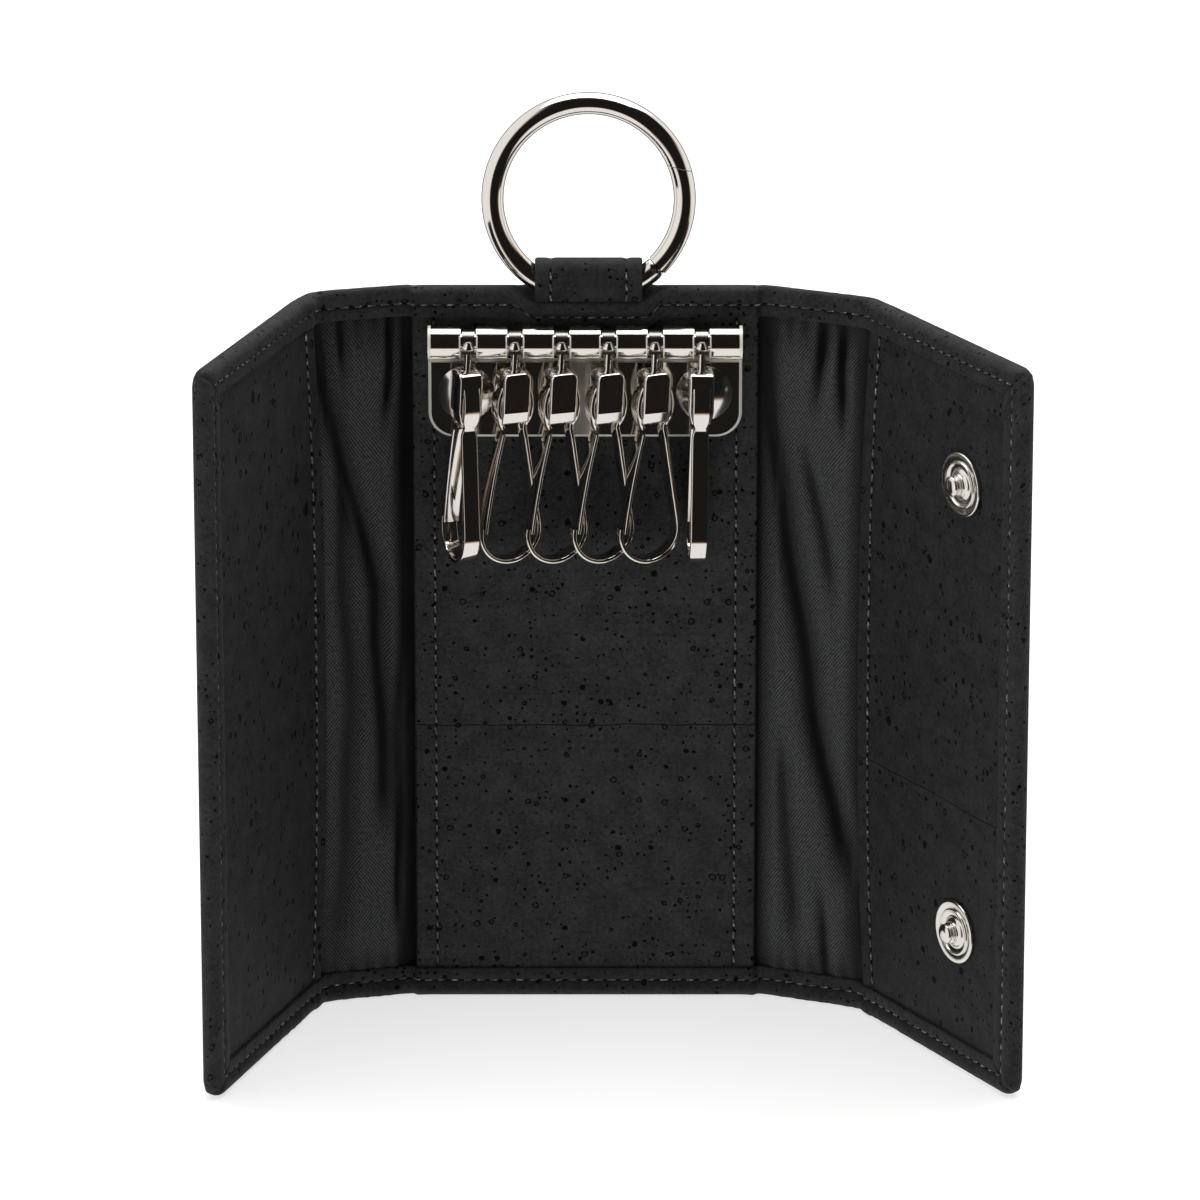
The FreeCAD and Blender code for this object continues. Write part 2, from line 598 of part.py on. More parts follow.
def hooks():
    """Six hooks on the rod, the outer two turned edge-on and the middle four nested like scales."""
    for n, swivel in HOOK_SWIVEL_ANGLES.items():
        rod = shift((n - HOOK_MIDDLE) * size.hook_pitch, -size.panel_thickness - size.tube_radius,
                    size.case_height - size.bar_drop)
        hang = rod * shift(0, -size.pin_reach, 0)
        hang = hang * turn(Vector(0, 1, 0), HOOK_LEAN_ANGLES[n]) * turn(Vector(0, 0, 1), -swivel)
        saddle(n, rod)
        head(n, hang)
        for name, shape in (("loop", loop_shape()), ("gate", gate_shape())):
            bent = doc.addObject("Part::Feature", f"{name}_strip_{n}")
            bent.Shape = shape
            node(f"hook_{n}_{name}", bent, place=hang)


def strap_place():
    """The strap's own frame: its flex axis, leaning back with the ring."""
    axis = shift(size.strap_shift, (size.board_thickness - size.panel_thickness) / 2,
                 size.case_height + size.strap_lift)
    return axis * turn(Vector(1, 0, 0), -size.ring_lean_angle)


def strap():
    """A strap folded round the ring, as a tube with flat sides."""
    rise = ("(ring_radius - sqrt(ring_radius ^ 2 - strap_width ^ 2 / 4)"
            " + ring_wire_radius / sqrt(1 - strap_width ^ 2 / (4 * ring_radius ^ 2)) - ring_wire_radius)")
    parts = {}
    for name, radius, over in (("outside", STRAP_BODY, "0"),
                               ("inside", "(ring_wire_radius + strap_clearance)", "cut_overrun")):
        across = (f"-strap_width / 2 - {over}", f"strap_width / 2 + {over}")
        length = f"strap_width + 2 * {over}"
        parts[name] = fuse(
            f"strap_{name}", box(f"strap_{name}_flat", across, (f"-{radius}", radius), ("0", rise)),
            cylinder(f"strap_{name}_low", radius, length, (across[0], "0", "0"), "x"),
            cylinder(f"strap_{name}_high", radius, length, (across[0], "0", rise), "x"))
    node("ring_strap", cut("strap_tube", parts["outside"], parts["inside"]), place=strap_place())


def ring():
    """A round-wire ring whose gate turns on a pin, with a mitred free end square to the swing."""
    place = strap_place() * shift(0, 0, size.ring_radius) * turn(Vector(1, 0, 0), 90)
    wire = size.ring_wire_radius
    pivot, end = (Vector(cos(radians(a)), sin(radians(a)), 0) * size.ring_radius
                  for a in (size.ring_pivot_angle, size.ring_end_angle))
    chord = end - pivot
    chord_frame = Placement(pivot, Rotation(Vector(1, 0, 0), chord))
    tangent_frame = Placement(pivot, Rotation(Vector(0, 0, 1), size.ring_pivot_angle + 90))

    def bar(frame, start, stop, half_width, half_depth):
        corner = Vector(start, -half_width, -half_depth)
        solid = Part.makeBox(stop - start, 2 * half_width, 2 * half_depth, corner)
        solid.Placement = frame
        return solid

    def arc(start, stop):
        solid = Part.makeTorus(size.ring_radius, wire, Vector(), Vector(0, 0, 1), 0, 360, stop - start)
        solid.rotate(Vector(), Vector(0, 0, 1), start)
        return solid

    def pin(radius, half_depth):
        return Part.makeCylinder(radius, 2 * half_depth, pivot - Vector(0, 0, half_depth))

    tongue_half = size.ring_tongue_thickness / 2
    slot_half = tongue_half + size.ring_slot_clearance
    mitre = chord.Length
    half_gap = size.ring_mitre_gap / 2
    reach = size.ring_mitre_reach
    body = arc(size.ring_end_angle - size.ring_margin_angle, size.ring_pivot_angle + 360)
    body = body.fuse(Part.makeSphere(wire, pivot))
    body = body.cut(bar(chord_frame, mitre - reach, mitre + half_gap, reach, reach))
    body = body.cut(pin(size.ring_tongue_radius + size.ring_knuckle_clearance, slot_half))
    body = body.cut(bar(tangent_frame, 0, reach, reach, slot_half))
    body = body.cut(pin(size.ring_pin_radius + size.ring_pin_seat, reach))
    gate = arc(size.ring_pivot_angle, size.ring_end_angle + size.ring_margin_angle)
    gate = gate.cut(bar(chord_frame, mitre - half_gap, mitre + reach, reach, reach))
    gate = gate.cut(Part.makeSphere(wire + size.ring_knuckle_clearance, pivot))
    gate = gate.fuse([pin(size.ring_tongue_radius, tongue_half),
                      bar(tangent_frame, 0, size.ring_tongue_length, size.ring_tongue_radius, tongue_half)])
    gate = gate.cut(pin(size.ring_pin_radius + size.ring_pin_clearance, reach))
    for label, shape in (("ring", body), ("ring_gate", gate),
                         ("ring_gate_pin", pin(size.ring_pin_radius, size.ring_pin_length / 2))):
        bent = doc.addObject("Part::Feature", f"{label}_metal")
        bent.Shape = shape
        node(label, bent, place=place)


def export():
    """Checks every object of the document and writes one file for each sub-part."""
    doc.recompute()
    for item in doc.Objects:
        if {"Invalid", "Error"} & set(item.State):
            raise RuntimeError(f"{item.Label} did not build: {item.State}")
    os.makedirs("parts", exist_ok=True)
    for part in nodes:
        if part.Shape.isNull() or not part.Shape.isValid() or not part.Shape.Solids:
            raise RuntimeError(f"{part.Label} has no valid shape")
        part.Shape.exportStep(f"parts/{part.Label}.step")


centre()
for side_name, side_sign in SIDES.items():
    fold(side_name, side_sign)
flap_places = {side_name: flap(side_name, side_sign) for side_name, side_sign in SIDES.items()}
studs(flap_places["right"])
sockets(flap_places["left"])
key_bar()
hooks()
strap()
ring()
export()
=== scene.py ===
import json
from math import cos, pi, radians, sin

import bmesh
import bpy
import numpy as np
from bpy.props import FloatProperty, FloatVectorProperty, PointerProperty
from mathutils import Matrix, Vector


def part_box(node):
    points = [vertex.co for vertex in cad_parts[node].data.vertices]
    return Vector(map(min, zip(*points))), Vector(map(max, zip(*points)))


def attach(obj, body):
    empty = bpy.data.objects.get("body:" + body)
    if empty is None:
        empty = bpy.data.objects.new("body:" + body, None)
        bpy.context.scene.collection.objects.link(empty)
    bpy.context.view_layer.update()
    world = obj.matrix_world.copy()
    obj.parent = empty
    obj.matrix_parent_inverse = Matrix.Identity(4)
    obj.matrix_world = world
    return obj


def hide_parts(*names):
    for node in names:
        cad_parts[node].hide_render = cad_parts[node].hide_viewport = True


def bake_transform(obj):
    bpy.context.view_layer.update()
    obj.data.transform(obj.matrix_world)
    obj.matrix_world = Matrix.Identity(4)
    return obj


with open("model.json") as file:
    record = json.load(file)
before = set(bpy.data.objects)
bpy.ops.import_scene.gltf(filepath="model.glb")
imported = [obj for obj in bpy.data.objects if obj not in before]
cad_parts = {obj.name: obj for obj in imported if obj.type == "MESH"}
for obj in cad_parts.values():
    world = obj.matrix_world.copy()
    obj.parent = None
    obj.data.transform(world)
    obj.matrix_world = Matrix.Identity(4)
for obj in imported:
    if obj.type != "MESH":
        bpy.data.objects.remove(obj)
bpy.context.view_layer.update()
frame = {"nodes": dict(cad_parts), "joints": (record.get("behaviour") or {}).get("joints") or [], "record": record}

bl_info = {
    "name": "Cork Key Case",
    "version": (1, 0, 0),
    "blender": (4, 5, 0),
    "location": "View3D > Sidebar > Key Case",
    "description": "Dresses a folding cork key case with hems, panels, lining, stitching and nickel fittings",
    "category": "Object",
}

SIGNS = {"left": -1.0, "right": 1.0}
JOINTS = {joint["name"]: joint for joint in frame["joints"]}
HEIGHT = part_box("centre_shell")[1].z
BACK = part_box("centre_shell")[1].y
BOARD_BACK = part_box("centre_board")[1].y
PANEL_FRONT = JOINTS["left_inner_crease"]["pos_m"][1]
CENTRE_HALF = JOINTS["right_inner_crease"]["pos_m"][0]

# Lengths in metres that no panel of sizes needs to show, and the camera's place and scale
WELD = 1.0e-7
WRINKLE_PITCH, WRINKLE_REACH = 1.7e-3, 34e-3
PANEL_EDGE = 0.45e-3
GROOVE_DEPTH, GROOVE_WIDTH = 0.2e-3, 0.42e-3
LINING_THICKNESS = 0.22e-3
HOLE_LENGTH, HOLE_RADIUS = 0.95e-3, 0.17e-3
STRAP_FOOT, STRAP_BEND = 3.2e-3, 1.6e-3
STRIP_STEP = 0.2e-3
TWILL_PERIOD = 0.54e-3
AIM = Vector((2.35e-3, 0.0, 67.95e-3))
CAMERA_AWAY, CAMERA_RISE = 1.4, radians(19.63)
FRAME_WIDTH, PIXELS_PER_METRE = 1200.0, 6235.0


def length(name, description, default):
    return FloatProperty(name=name, description=description, default=default, unit="LENGTH", precision=5)


def colour(name, description, default):
    return FloatVectorProperty(name=name, description=description, default=default, subtype="COLOR", size=3)


class CaseSizes(bpy.types.PropertyGroup):
    """Sizes of the soft pieces, in metres."""
    inner_bend: length("Inner bend", "Width over which the cork turns at an inner crease", 6.0e-3)
    outer_bend: length("Outer bend", "Width over which the cork turns at an outer crease", 9.0e-3)
    hem: length("Hem", "Width of the turned edge", 5.0e-3)
    lip: length("Lip", "Thickness of the hem's flat lip", 0.55e-3)
    roll: length("Roll", "How far the hem's rounded edge stands proud of the panel", 0.9e-3)
    roll_width: length("Roll width", "Half width of the rounded edge", 1.5e-3)
    seam: length("Seam", "Distance of the hem's stitching from the edge", 2.9e-3)
    lining_front: length("Lining front", "Depth of the lining's front", -0.1e-3)
    corner: length("Corner", "Radius of the flaps' outer corners", 2.6e-3)
    dip: length("Dip", "How far the top edge sinks under the strap", 2.0e-3)
    front_bulge: length("Front bulge", "How far the hem's front bulges over the strap", 0.9e-3)
    back_bulge: length("Back bulge", "How far the cover's back bulges over the strap", 1.3e-3)
    swell: length("Swell", "How far the cover stands out over the boards' edges", 0.4e-3)
    pucker: length("Pucker", "Height of the hem's wrinkles at the fold zones", 0.16e-3)
    slack: length("Slack", "Height of the lining's loose folds", 1.5e-3)
    tuck: length("Tuck", "How far the lining runs on under the panels", 2.2e-3)
    panel_seam: length("Panel seam", "Distance of the panels' side stitching from their edges", 3.4e-3)
    flap_seam: length("Flap seam", "Distance of the flap panels' stitching from their inner edges", 2.3e-3)
    bow: length("Bow", "How far the flap panels' inner edges bow over the lining", 2.4e-3)
    stitch: length("Stitch", "Length of one stitch on the surface", 1.5e-3)
    pitch: length("Pitch", "Distance from one stitch to the next", 2.1e-3)
    thread: length("Thread", "Radius of the thread", 0.16e-3)
    strap_skin: length("Strap skin", "Thickness of the strap's cork", 0.85e-3)
    strap_seam: length("Strap seam", "Distance of the strap's stitching from its middle", 6.0e-3)
    veneer_joint: length("Veneer joint", "Height of the joint between two cork sheets", 46.6e-3)
    stud_reach: length("Stud reach", "Distance of the studs from the outer crease", 26.5e-3)
    stud_spacing: length("Stud spacing", "Distance from one stud to the other", 75.0e-3)


class HookSizes(bpy.types.PropertyGroup):
    """Sizes of a hook's strips, in metres; drops are measured down from the middle of the rod."""
    width: length("Width", "Width of the strips", 2.8e-3)
    thickness: length("Thickness", "Thickness of the carrying strip", 0.75e-3)
    round: length("Round", "Radius of the strips' edges", 0.29e-3)
    top_half: length("Top half", "Half of the strip's run under the clip's bridge", 1.2e-3)
    top_drop: length("Top drop", "Drop of the strip under the bridge", 4.825e-3)
    bulge_half: length("Bulge half", "Half of the width of the arms' bulge", 2.75e-3)
    bulge_drop: length("Bulge drop", "Drop of the arms' bulge", 8.3e-3)
    waist_half: length("Waist half", "Half of the width at the waist", 1.75e-3)
    waist_drop: length("Waist drop", "Drop of the waist", 12.9e-3)
    notch: length("Notch", "How far the strip narrows on each edge above the waist", 0.4e-3)
    notch_drop: length("Notch drop", "Drop of the narrow place", 12.6e-3)
    radius: length("Radius", "Radius of the loop's round end", 5.0e-3)
    drop: length("Drop", "Drop of the middle of the round end", 30.25e-3)
    gate_thickness: length("Gate thickness", "Thickness of the sprung gate", 0.6e-3)
    gate_start: length("Gate start", "Drop of the gate's root", 13.875e-3)
    gate_half: length("Gate half", "Distance of the gate's end from the middle", 4.175e-3)
    gate_end: length("Gate end", "Drop of the gate's end", 30.2e-3)
    gate_bow: length("Gate bow", "How far the gate bows out", 0.25e-3)
    clip_half: length("Clip half", "Half of the clip's width", 2.35e-3)
    clip_deep: length("Clip deep", "Half of the clip's depth", 2.0e-3)
    clip_top: length("Clip top", "Drop of the clip's top", 3.6e-3)
    clip_end: length("Clip end", "Drop of the clip's end", 12.1e-3)
    clip_foot: length("Clip foot", "Height of the clip's sloping foot", 2.0e-3)
    clip_slope: length("Clip slope", "How far the foot slopes in", 0.4e-3)
    clip_round: length("Clip round", "Radius of the clip's edges", 0.5e-3)
    pin: length("Pin", "Radius of the swivel pin", 0.58e-3)
    pin_head: length("Pin head", "Radius of the pin's head", 0.95e-3)


class CaseColours(bpy.types.PropertyGroup):
    """Colours of the finishes."""
    cork: colour("Cork", "Dyed cork skin", (0.0325, 0.0325, 0.033))
    pore: colour("Pore", "Inside of the cork's pores", (0.0015, 0.0015, 0.0016))
    cloth: colour("Lining", "Twill lining", (0.0032, 0.0033, 0.0036))
    yarn: colour("Yarn", "Light threads of the twill", (0.092, 0.095, 0.1))
    thread: colour("Thread", "Sewing thread", (0.07, 0.066, 0.06))
    nickel: colour("Nickel", "Polished nickel plate", (0.80, 0.765, 0.715))
    steel: colour("Steel", "Spring steel", (0.55, 0.55, 0.54))
    board: colour("Board", "Grey stiffening board", (0.27, 0.25, 0.21))
    floor: colour("Floor", "Pale studio floor", (0.9, 0.9, 0.9))


def hook_sizes():
    return bpy.context.scene.key_case_hook_sizes


def sizes():
    return bpy.context.scene.key_case_sizes


def colours():
    return bpy.context.scene.key_case_colours


def scaled(tint, factor):
    return [factor * part for part in tint]


def stacked(*parts):
    """Points from their coordinates, which are spread to one shape."""
    return np.stack(np.broadcast_arrays(*parts), axis=-1)


def there_and_back(rows):
    return np.concatenate([rows, rows[::-1]])


def node_points(name):
    """The corners of a node's mesh."""
    vertices = frame["nodes"][name].data.vertices
    points = np.empty(len(vertices) * 3)
    vertices.foreach_get("co", points)
    return points.reshape(-1, 3)


def new_object(name, data):
    made = bpy.data.objects.new(name, data)
    bpy.context.scene.collection.objects.link(made)
    return made


# Smooth steps and the fold

def smooth(x):
    """A smoothstep: 0 below 0, 1 above 1 and 3x^2 - 2x^3 between."""
    x = np.clip(x, 0.0, 1.0)
    return x * x * (3.0 - 2.0 * x)


def hump(x, middle, width):
    """A bell of height 1 at middle."""
    return np.exp(-((x - middle) / width) ** 2)


def crease(side, which):
    return np.array(JOINTS[f"{side}_{which}_crease"]["pos_m"])


def fold_width(side):
    return float(np.linalg.norm((crease(side, "outer") - crease(side, "inner"))[:2]))


def outer_place(side):
    """Place of an outer crease across the flat case."""
    return CENTRE_HALF + fold_width(side)


def folded(side, which):
    """How many degrees a crease is folded at rest: its upper limit lays the case flat."""
    return JOINTS[f"{side}_{which}_crease"]["range_deg"][1]


def flap_width(side):
    """The flap's width along its own plane, from the outer crease to the free edge."""
    angle = radians(folded(side, "outer") + folded(side, "inner"))
    along = np.array([SIGNS[side] * cos(angle), -sin(angle)])
    return float(((node_points(f"{side}_flap_shell")[:, :2] - crease(side, "outer")[:2]) @ along).max())


def bend(which):
    return getattr(sizes(), f"{which}_bend")


def fold_up(flat, side):
    """Carries points of the flat case to the rest pose, the outer crease first. Within a bend the middle line is
    a quadratic Bezier curve with the crease as its middle control point, and a point keeps its depth along the
    curve's normal; past the bend it turns about the crease with the rest. The centre has no side and stays."""
    if side is None:
        return flat
    sign = SIGNS[side]
    across = sign * flat[..., 0]
    x, y = across, flat[..., 1] - PANEL_FRONT
    for which, place in (("outer", outer_place(side)), ("inner", CENTRE_HALF)):
        half = bend(which) / 2.0
        angle = radians(folded(side, which))
        near = np.clip(across - place, -half, half)
        u = 0.5 + 0.5 * near / half
        turn = np.arctan2(u * sin(angle), 1.0 - u + u * cos(angle))
        beyond = x - place - near
        curve_x = half * (u ** 2 * cos(angle) - (1.0 - u) ** 2)
        curve_y = -half * u ** 2 * sin(angle)
        x, y = (place + curve_x + beyond * np.cos(turn) + y * np.sin(turn),
                curve_y - beyond * np.sin(turn) + y * np.cos(turn))
    return stacked(sign * x, y + PANEL_FRONT, flat[..., 2])


# Zones of the case across its flat width

class Zone:
    """A stretch of the flat case between two places, and how it moves."""

    def __init__(self, name, side, start, stop, bodies):
        self.name, self.side, self.start, self.stop, self.bodies = name, side, start, stop, bodies

    def place(self, piece):
        """Rides on one body; a piece between two bodies only has its transform baked."""
        if len(self.bodies) == 1:
            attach(piece, self.bodies[0])
            return
        which, pivot = ("inner", CENTRE_HALF) if self.bodies[0] == "case" else ("outer", outer_place(self.side))
        half = bend(which) / 2.0
        ends = stacked(SIGNS[self.side] * (pivot + np.array([-half, half])), PANEL_FRONT, HEIGHT / 2.0)
        start, end = fold_up(ends, self.side)
        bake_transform(piece)

    def across(self, count):
        return np.linspace(self.start, self.stop, count) * SIGNS.get(self.side, 1.0)

    def bent(self, flat):
        return fold_up(flat, self.side)


def side_zones(side):
    """The two halves of a fold zone and its flap."""
    near, far = bend("inner") / 2.0, bend("outer") / 2.0
    outer = outer_place(side)
    middle = CENTRE_HALF + (near + fold_width(side) - far) / 2.0
    return {
        "inner": Zone(f"{side}_inner", side, CENTRE_HALF - near, middle, ("case", f"{side}_fold")),
        "outer": Zone(f"{side}_outer", side, middle, outer + far, (f"{side}_fold", f"{side}_flap")),
        "flap": Zone(f"{side}_flap", side, outer + far, outer + flap_width(side), (f"{side}_flap",)),
    }


def centre_zone():
    half = bend("inner") / 2.0
    return Zone("centre", None, -CENTRE_HALF + half, CENTRE_HALF - half, ("case",))


# Meshes

def grid_faces(rows, columns):
    """Quads of a grid of points, closed along its rows."""
    i = np.arange(rows)[:, None]
    j = np.arange(columns - 1)[None, :]
    k = (i + 1) % rows
    return stacked(i * columns + j, i * columns + j + 1, k * columns + j + 1, k * columns + j).reshape(-1, 4)


def mesh_piece(name, points, faces, uv=None, tone=None, crisp=radians(38), slots=None):
    """A smooth mesh object from points and faces, welded, with its faces turned outwards."""
    mesh = bpy.data.meshes.new(name)
    mesh.from_pydata(points.reshape(-1, 3).tolist(), [], faces)
    if slots is not None:
        mesh.polygons.foreach_set("material_index", slots)
    # tone is stored as a point attribute; the lining uses it for painted fold light and shade
    if tone is not None:
        mesh.attributes.new("Tone", "FLOAT", "POINT").data.foreach_set("value", tone.ravel())
    if uv is not None:
        corners = np.empty(len(mesh.loops), dtype=np.int32)
        mesh.loops.foreach_get("vertex_index", corners)
        layer = mesh.uv_layers.new(name="Cut")
        layer.data.foreach_set("uv", uv.reshape(-1, 2)[corners].ravel())
    work = bmesh.new()
    work.from_mesh(mesh)
    bmesh.ops.remove_doubles(work, verts=work.verts, dist=WELD)
    bmesh.ops.recalc_face_normals(work, faces=work.faces)
    if work.calc_volume(signed=True) < 0.0:
        bmesh.ops.reverse_faces(work, faces=work.faces)
    work.to_mesh(mesh)
    work.free()
    mesh.polygons.foreach_set("use_smooth", np.ones(len(mesh.polygons), dtype=bool))
    mesh.set_sharp_from_angle(angle=crisp)
    return new_object(name, mesh)


def tube_faces(rows, columns, left_out=(), first=0):
    """Quads round a tube of points and a cap at each end, counted from the first point. Rows of faces that would
    lie inside the piece, where it meets itself, are left out."""
    quads = grid_faces(rows, columns).reshape(rows, columns - 1, 4) + first
    quads = np.delete(quads, np.array(left_out, dtype=int), axis=0).reshape(-1, 4)
    cap = np.arange(rows) * columns + first
    return quads.tolist() + [cap.tolist(), (cap + columns - 1).tolist()[::-1]]


def tube_piece(name, points, left_out=(), **more):
    """A closed piece from sections of points: rows go round the section, columns along the piece."""
    return mesh_piece(name, points, tube_faces(*points.shape[:2], left_out), **more)


def finish(piece, materials, place, slot, *replaced):
    """Gives a piece its materials, places it and hides the nodes that it stands for; the slot is not used."""
    for material in materials:
        piece.data.materials.append(material)
    place(piece)
    if replaced:
        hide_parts(*replaced)


def ends_dense(near, fine, coarse):
    """Steps from 0 to 1, close together within near of both ends."""
    return np.concatenate([np.linspace(0.0, near, fine), np.linspace(near, 1.0 - near, coarse)[1:-1],
                           np.linspace(1.0 - near, 1.0, fine)])


# The cork cover and its hem

def front_level(x):
    """Depth of what the hem's lip lies on: the panels' front, or the lining's in the fold zones."""
    level = np.full_like(x, PANEL_FRONT)
    for side, sign in SIGNS.items():
        across = sign * x
        inside = smooth((across - CENTRE_HALF + 0.3e-3) / 0.9e-3)
        outside = smooth((across - outer_place(side) + 1.2e-3) / 3.0e-3)
        level = level + (sizes().lining_front - PANEL_FRONT) * (inside - outside)
    return level


def wrinkles(x, seed):
    """Fine puckers across the hem, drawn in where the case folds: bells at seeded places."""
    chance = np.random.default_rng(seed)
    total = np.zeros_like(x)
    for side, sign in SIGNS.items():
        places = np.arange(CENTRE_HALF - 1.0e-3, outer_place(side) + WRINKLE_REACH, WRINKLE_PITCH)
        places = places + chance.uniform(-0.7e-3, 0.7e-3, places.size)
        depth = chance.uniform(-1.0, 0.7, places.size)
        width = chance.uniform(0.3e-3, 0.75e-3, places.size)
        fade = 1.0 - 0.7 * smooth((places - outer_place(side) - 6e-3) / 20e-3)
        total = total + (depth * fade * hump(sign * x[..., None], places, width)).sum(axis=-1)
    return total


def hem_outside(level):
    """Distance from the edge and depth of the hem's outside, for each front level: up the lip's inner edge,
    along the lip, through the stitch's valley, over a half-ellipse round the edge and on to the back."""
    s = sizes()
    level = level[None, :]
    front = level - s.roll
    middle, reach = (front + BACK) / 2.0, (BACK - front) / 2.0
    lip = np.array([[0.0, -0.25], [0.0, 0.55], [0.03, 0.86], [0.09, 1.0], [0.5, 1.04], [0.8, 1.0],
                    [0.93, 0.72], [1.0, 0.4]])
    lip_d = s.hem + (s.seam - s.hem) * lip[:, :1] + 0.0 * level
    lip_y = level - s.lip * lip[:, 1:]
    rise = np.linspace(0.1, 1.0, 8)[:, None]
    rise_d = s.seam + (s.roll_width - s.seam) * rise + 0.0 * level
    rise_y = (level - s.lip * 0.4) + (front - level + s.lip * 0.4) * np.sin(rise * pi / 2.0) ** 0.8
    turn = np.linspace(0.0, pi, 17)[1:, None]
    turn_d = s.roll_width * (1.0 - np.sin(turn)) + 0.0 * level
    turn_y = middle - reach * np.cos(turn)
    return np.concatenate([lip_d, rise_d, turn_d]), np.concatenate([lip_y, rise_y, turn_y])


def hem_inside(level):
    """The hem's hidden inside, from the back round to the lip's underside."""
    s = sizes()
    level = level[None, :]
    d = np.array([s.roll_width, s.roll_width * 0.6, s.roll_width, s.hem])[:, None] + 0.0 * level
    depth = np.concatenate([BOARD_BACK + 0.0 * level, (BOARD_BACK + level) / 2.0, level + 0.15e-3, level + 0.15e-3])
    return d, depth


def unrolled(d, y):
    """Distance from the edge in the flat cut: the length along the section, counted back from its last row."""
    steps = np.hypot(np.diff(d, axis=0), np.diff(y, axis=0))
    behind = np.concatenate([np.cumsum(steps[::-1], axis=0)[::-1], 0.0 * d[:1]])
    return d[-1:] - behind


def add_wrinkles(d, y, x, seed):
    """Pushes the hem's front in and out with the puckers, most at its edge and not at the lip's end."""
    share = smooth((sizes().hem + 0.2e-3 - d) / 2.0e-3) * smooth((BACK - y) / 1.6e-3)
    return y + sizes().pucker * share * wrinkles(x, seed)


def under_strap(x):
    """1 over the strap's width, fading to 0 on both sides of it."""
    return 1.0 - smooth((np.abs(x - JOINTS["strap_flex"]["pos_m"][0]) - 8.6e-3) / 3.4e-3)


def dip(x, y):
    """How far the top edge's front sinks under the ring's strap; its back stays up."""
    return sizes().dip * under_strap(x) * smooth((0.9e-3 - y) / 1.4e-3)


def bulge(x, y, z):
    """How far the cover is pushed forwards at its front and backwards at its back by the strap inside it, and
    backwards at the outer creases by the boards' edges."""
    s = sizes()
    back = smooth((y + 1.5e-3) / 2.5e-3)
    near = under_strap(x) * smooth((z - HEIGHT + 6.5e-3) / 4.5e-3)
    edges = sum(hump(sign * x, outer_place(side), 2.0e-3) for side, sign in SIGNS.items())
    return near * (s.back_bulge * back - s.front_bulge * (1.0 - back)) + s.swell * back * edges


def strip_cover(zone, count):
    """The cover of a zone with hems at its top and bottom: one closed section carried across the zone."""
    x = zone.across(count)
    level = front_level(x)
    out_d, out_y = hem_outside(level)
    in_d, in_y = hem_inside(level)
    top_y, low_y = add_wrinkles(out_d, out_y, x, 5), add_wrinkles(out_d, out_y, x, 9)
    wall = np.linspace(0.0, 1.0, 14)[1:-1, None]
    low = sizes().roll_width
    back_z = (HEIGHT - low) * (1.0 - wall) + low * wall + 0.0 * x
    z = np.concatenate([HEIGHT - out_d - dip(x, top_y), back_z, out_d[::-1], in_d[::-1], back_z[::-1],
                        HEIGHT - in_d - dip(x, in_y)])
    y = np.concatenate([top_y, BACK + 0.0 * back_z, low_y[::-1], in_y[::-1], BOARD_BACK + 0.0 * back_z, in_y])
    flat = stacked(x, y + bulge(x, y, z), z)
    cut = unrolled(out_d, out_y)
    up = np.concatenate([HEIGHT - cut, back_z, cut[::-1], in_d[::-1], back_z[::-1], HEIGHT - in_d])
    return tube_piece(f"cover_{zone.name}", zone.bent(flat), uv=stacked(x, up))


def flap_outline(width, start):
    """The flap's edge from the crease along the bottom, up the free side and back along the top, with the
    matching points of the lip's inner edge, the inward way being the line between the two."""
    s = sizes()
    run = np.linspace(0.0, 1.0, 90)
    turn = np.linspace(0.0, pi / 2.0, 17)[1:-1]
    side = np.linspace(0.0, 1.0, 100)
    outlines = []
    for inset, radius in ((0.0, s.corner), (s.hem, 0.35e-3)):
        far, high, low = width - inset - radius, HEIGHT - inset - radius, inset + radius
        x = np.concatenate([start + (far - start) * run, far + radius * np.sin(turn),
                            np.full(side.size, far + radius), far + radius * np.cos(turn),
                            far + (start - far) * run])
        z = np.concatenate([np.full(run.size, inset), low - radius * np.cos(turn), low + (high - low) * side,
                            high + radius * np.sin(turn), np.full(run.size, HEIGHT - inset)])
        outlines.append(stacked(x, z))
    return outlines


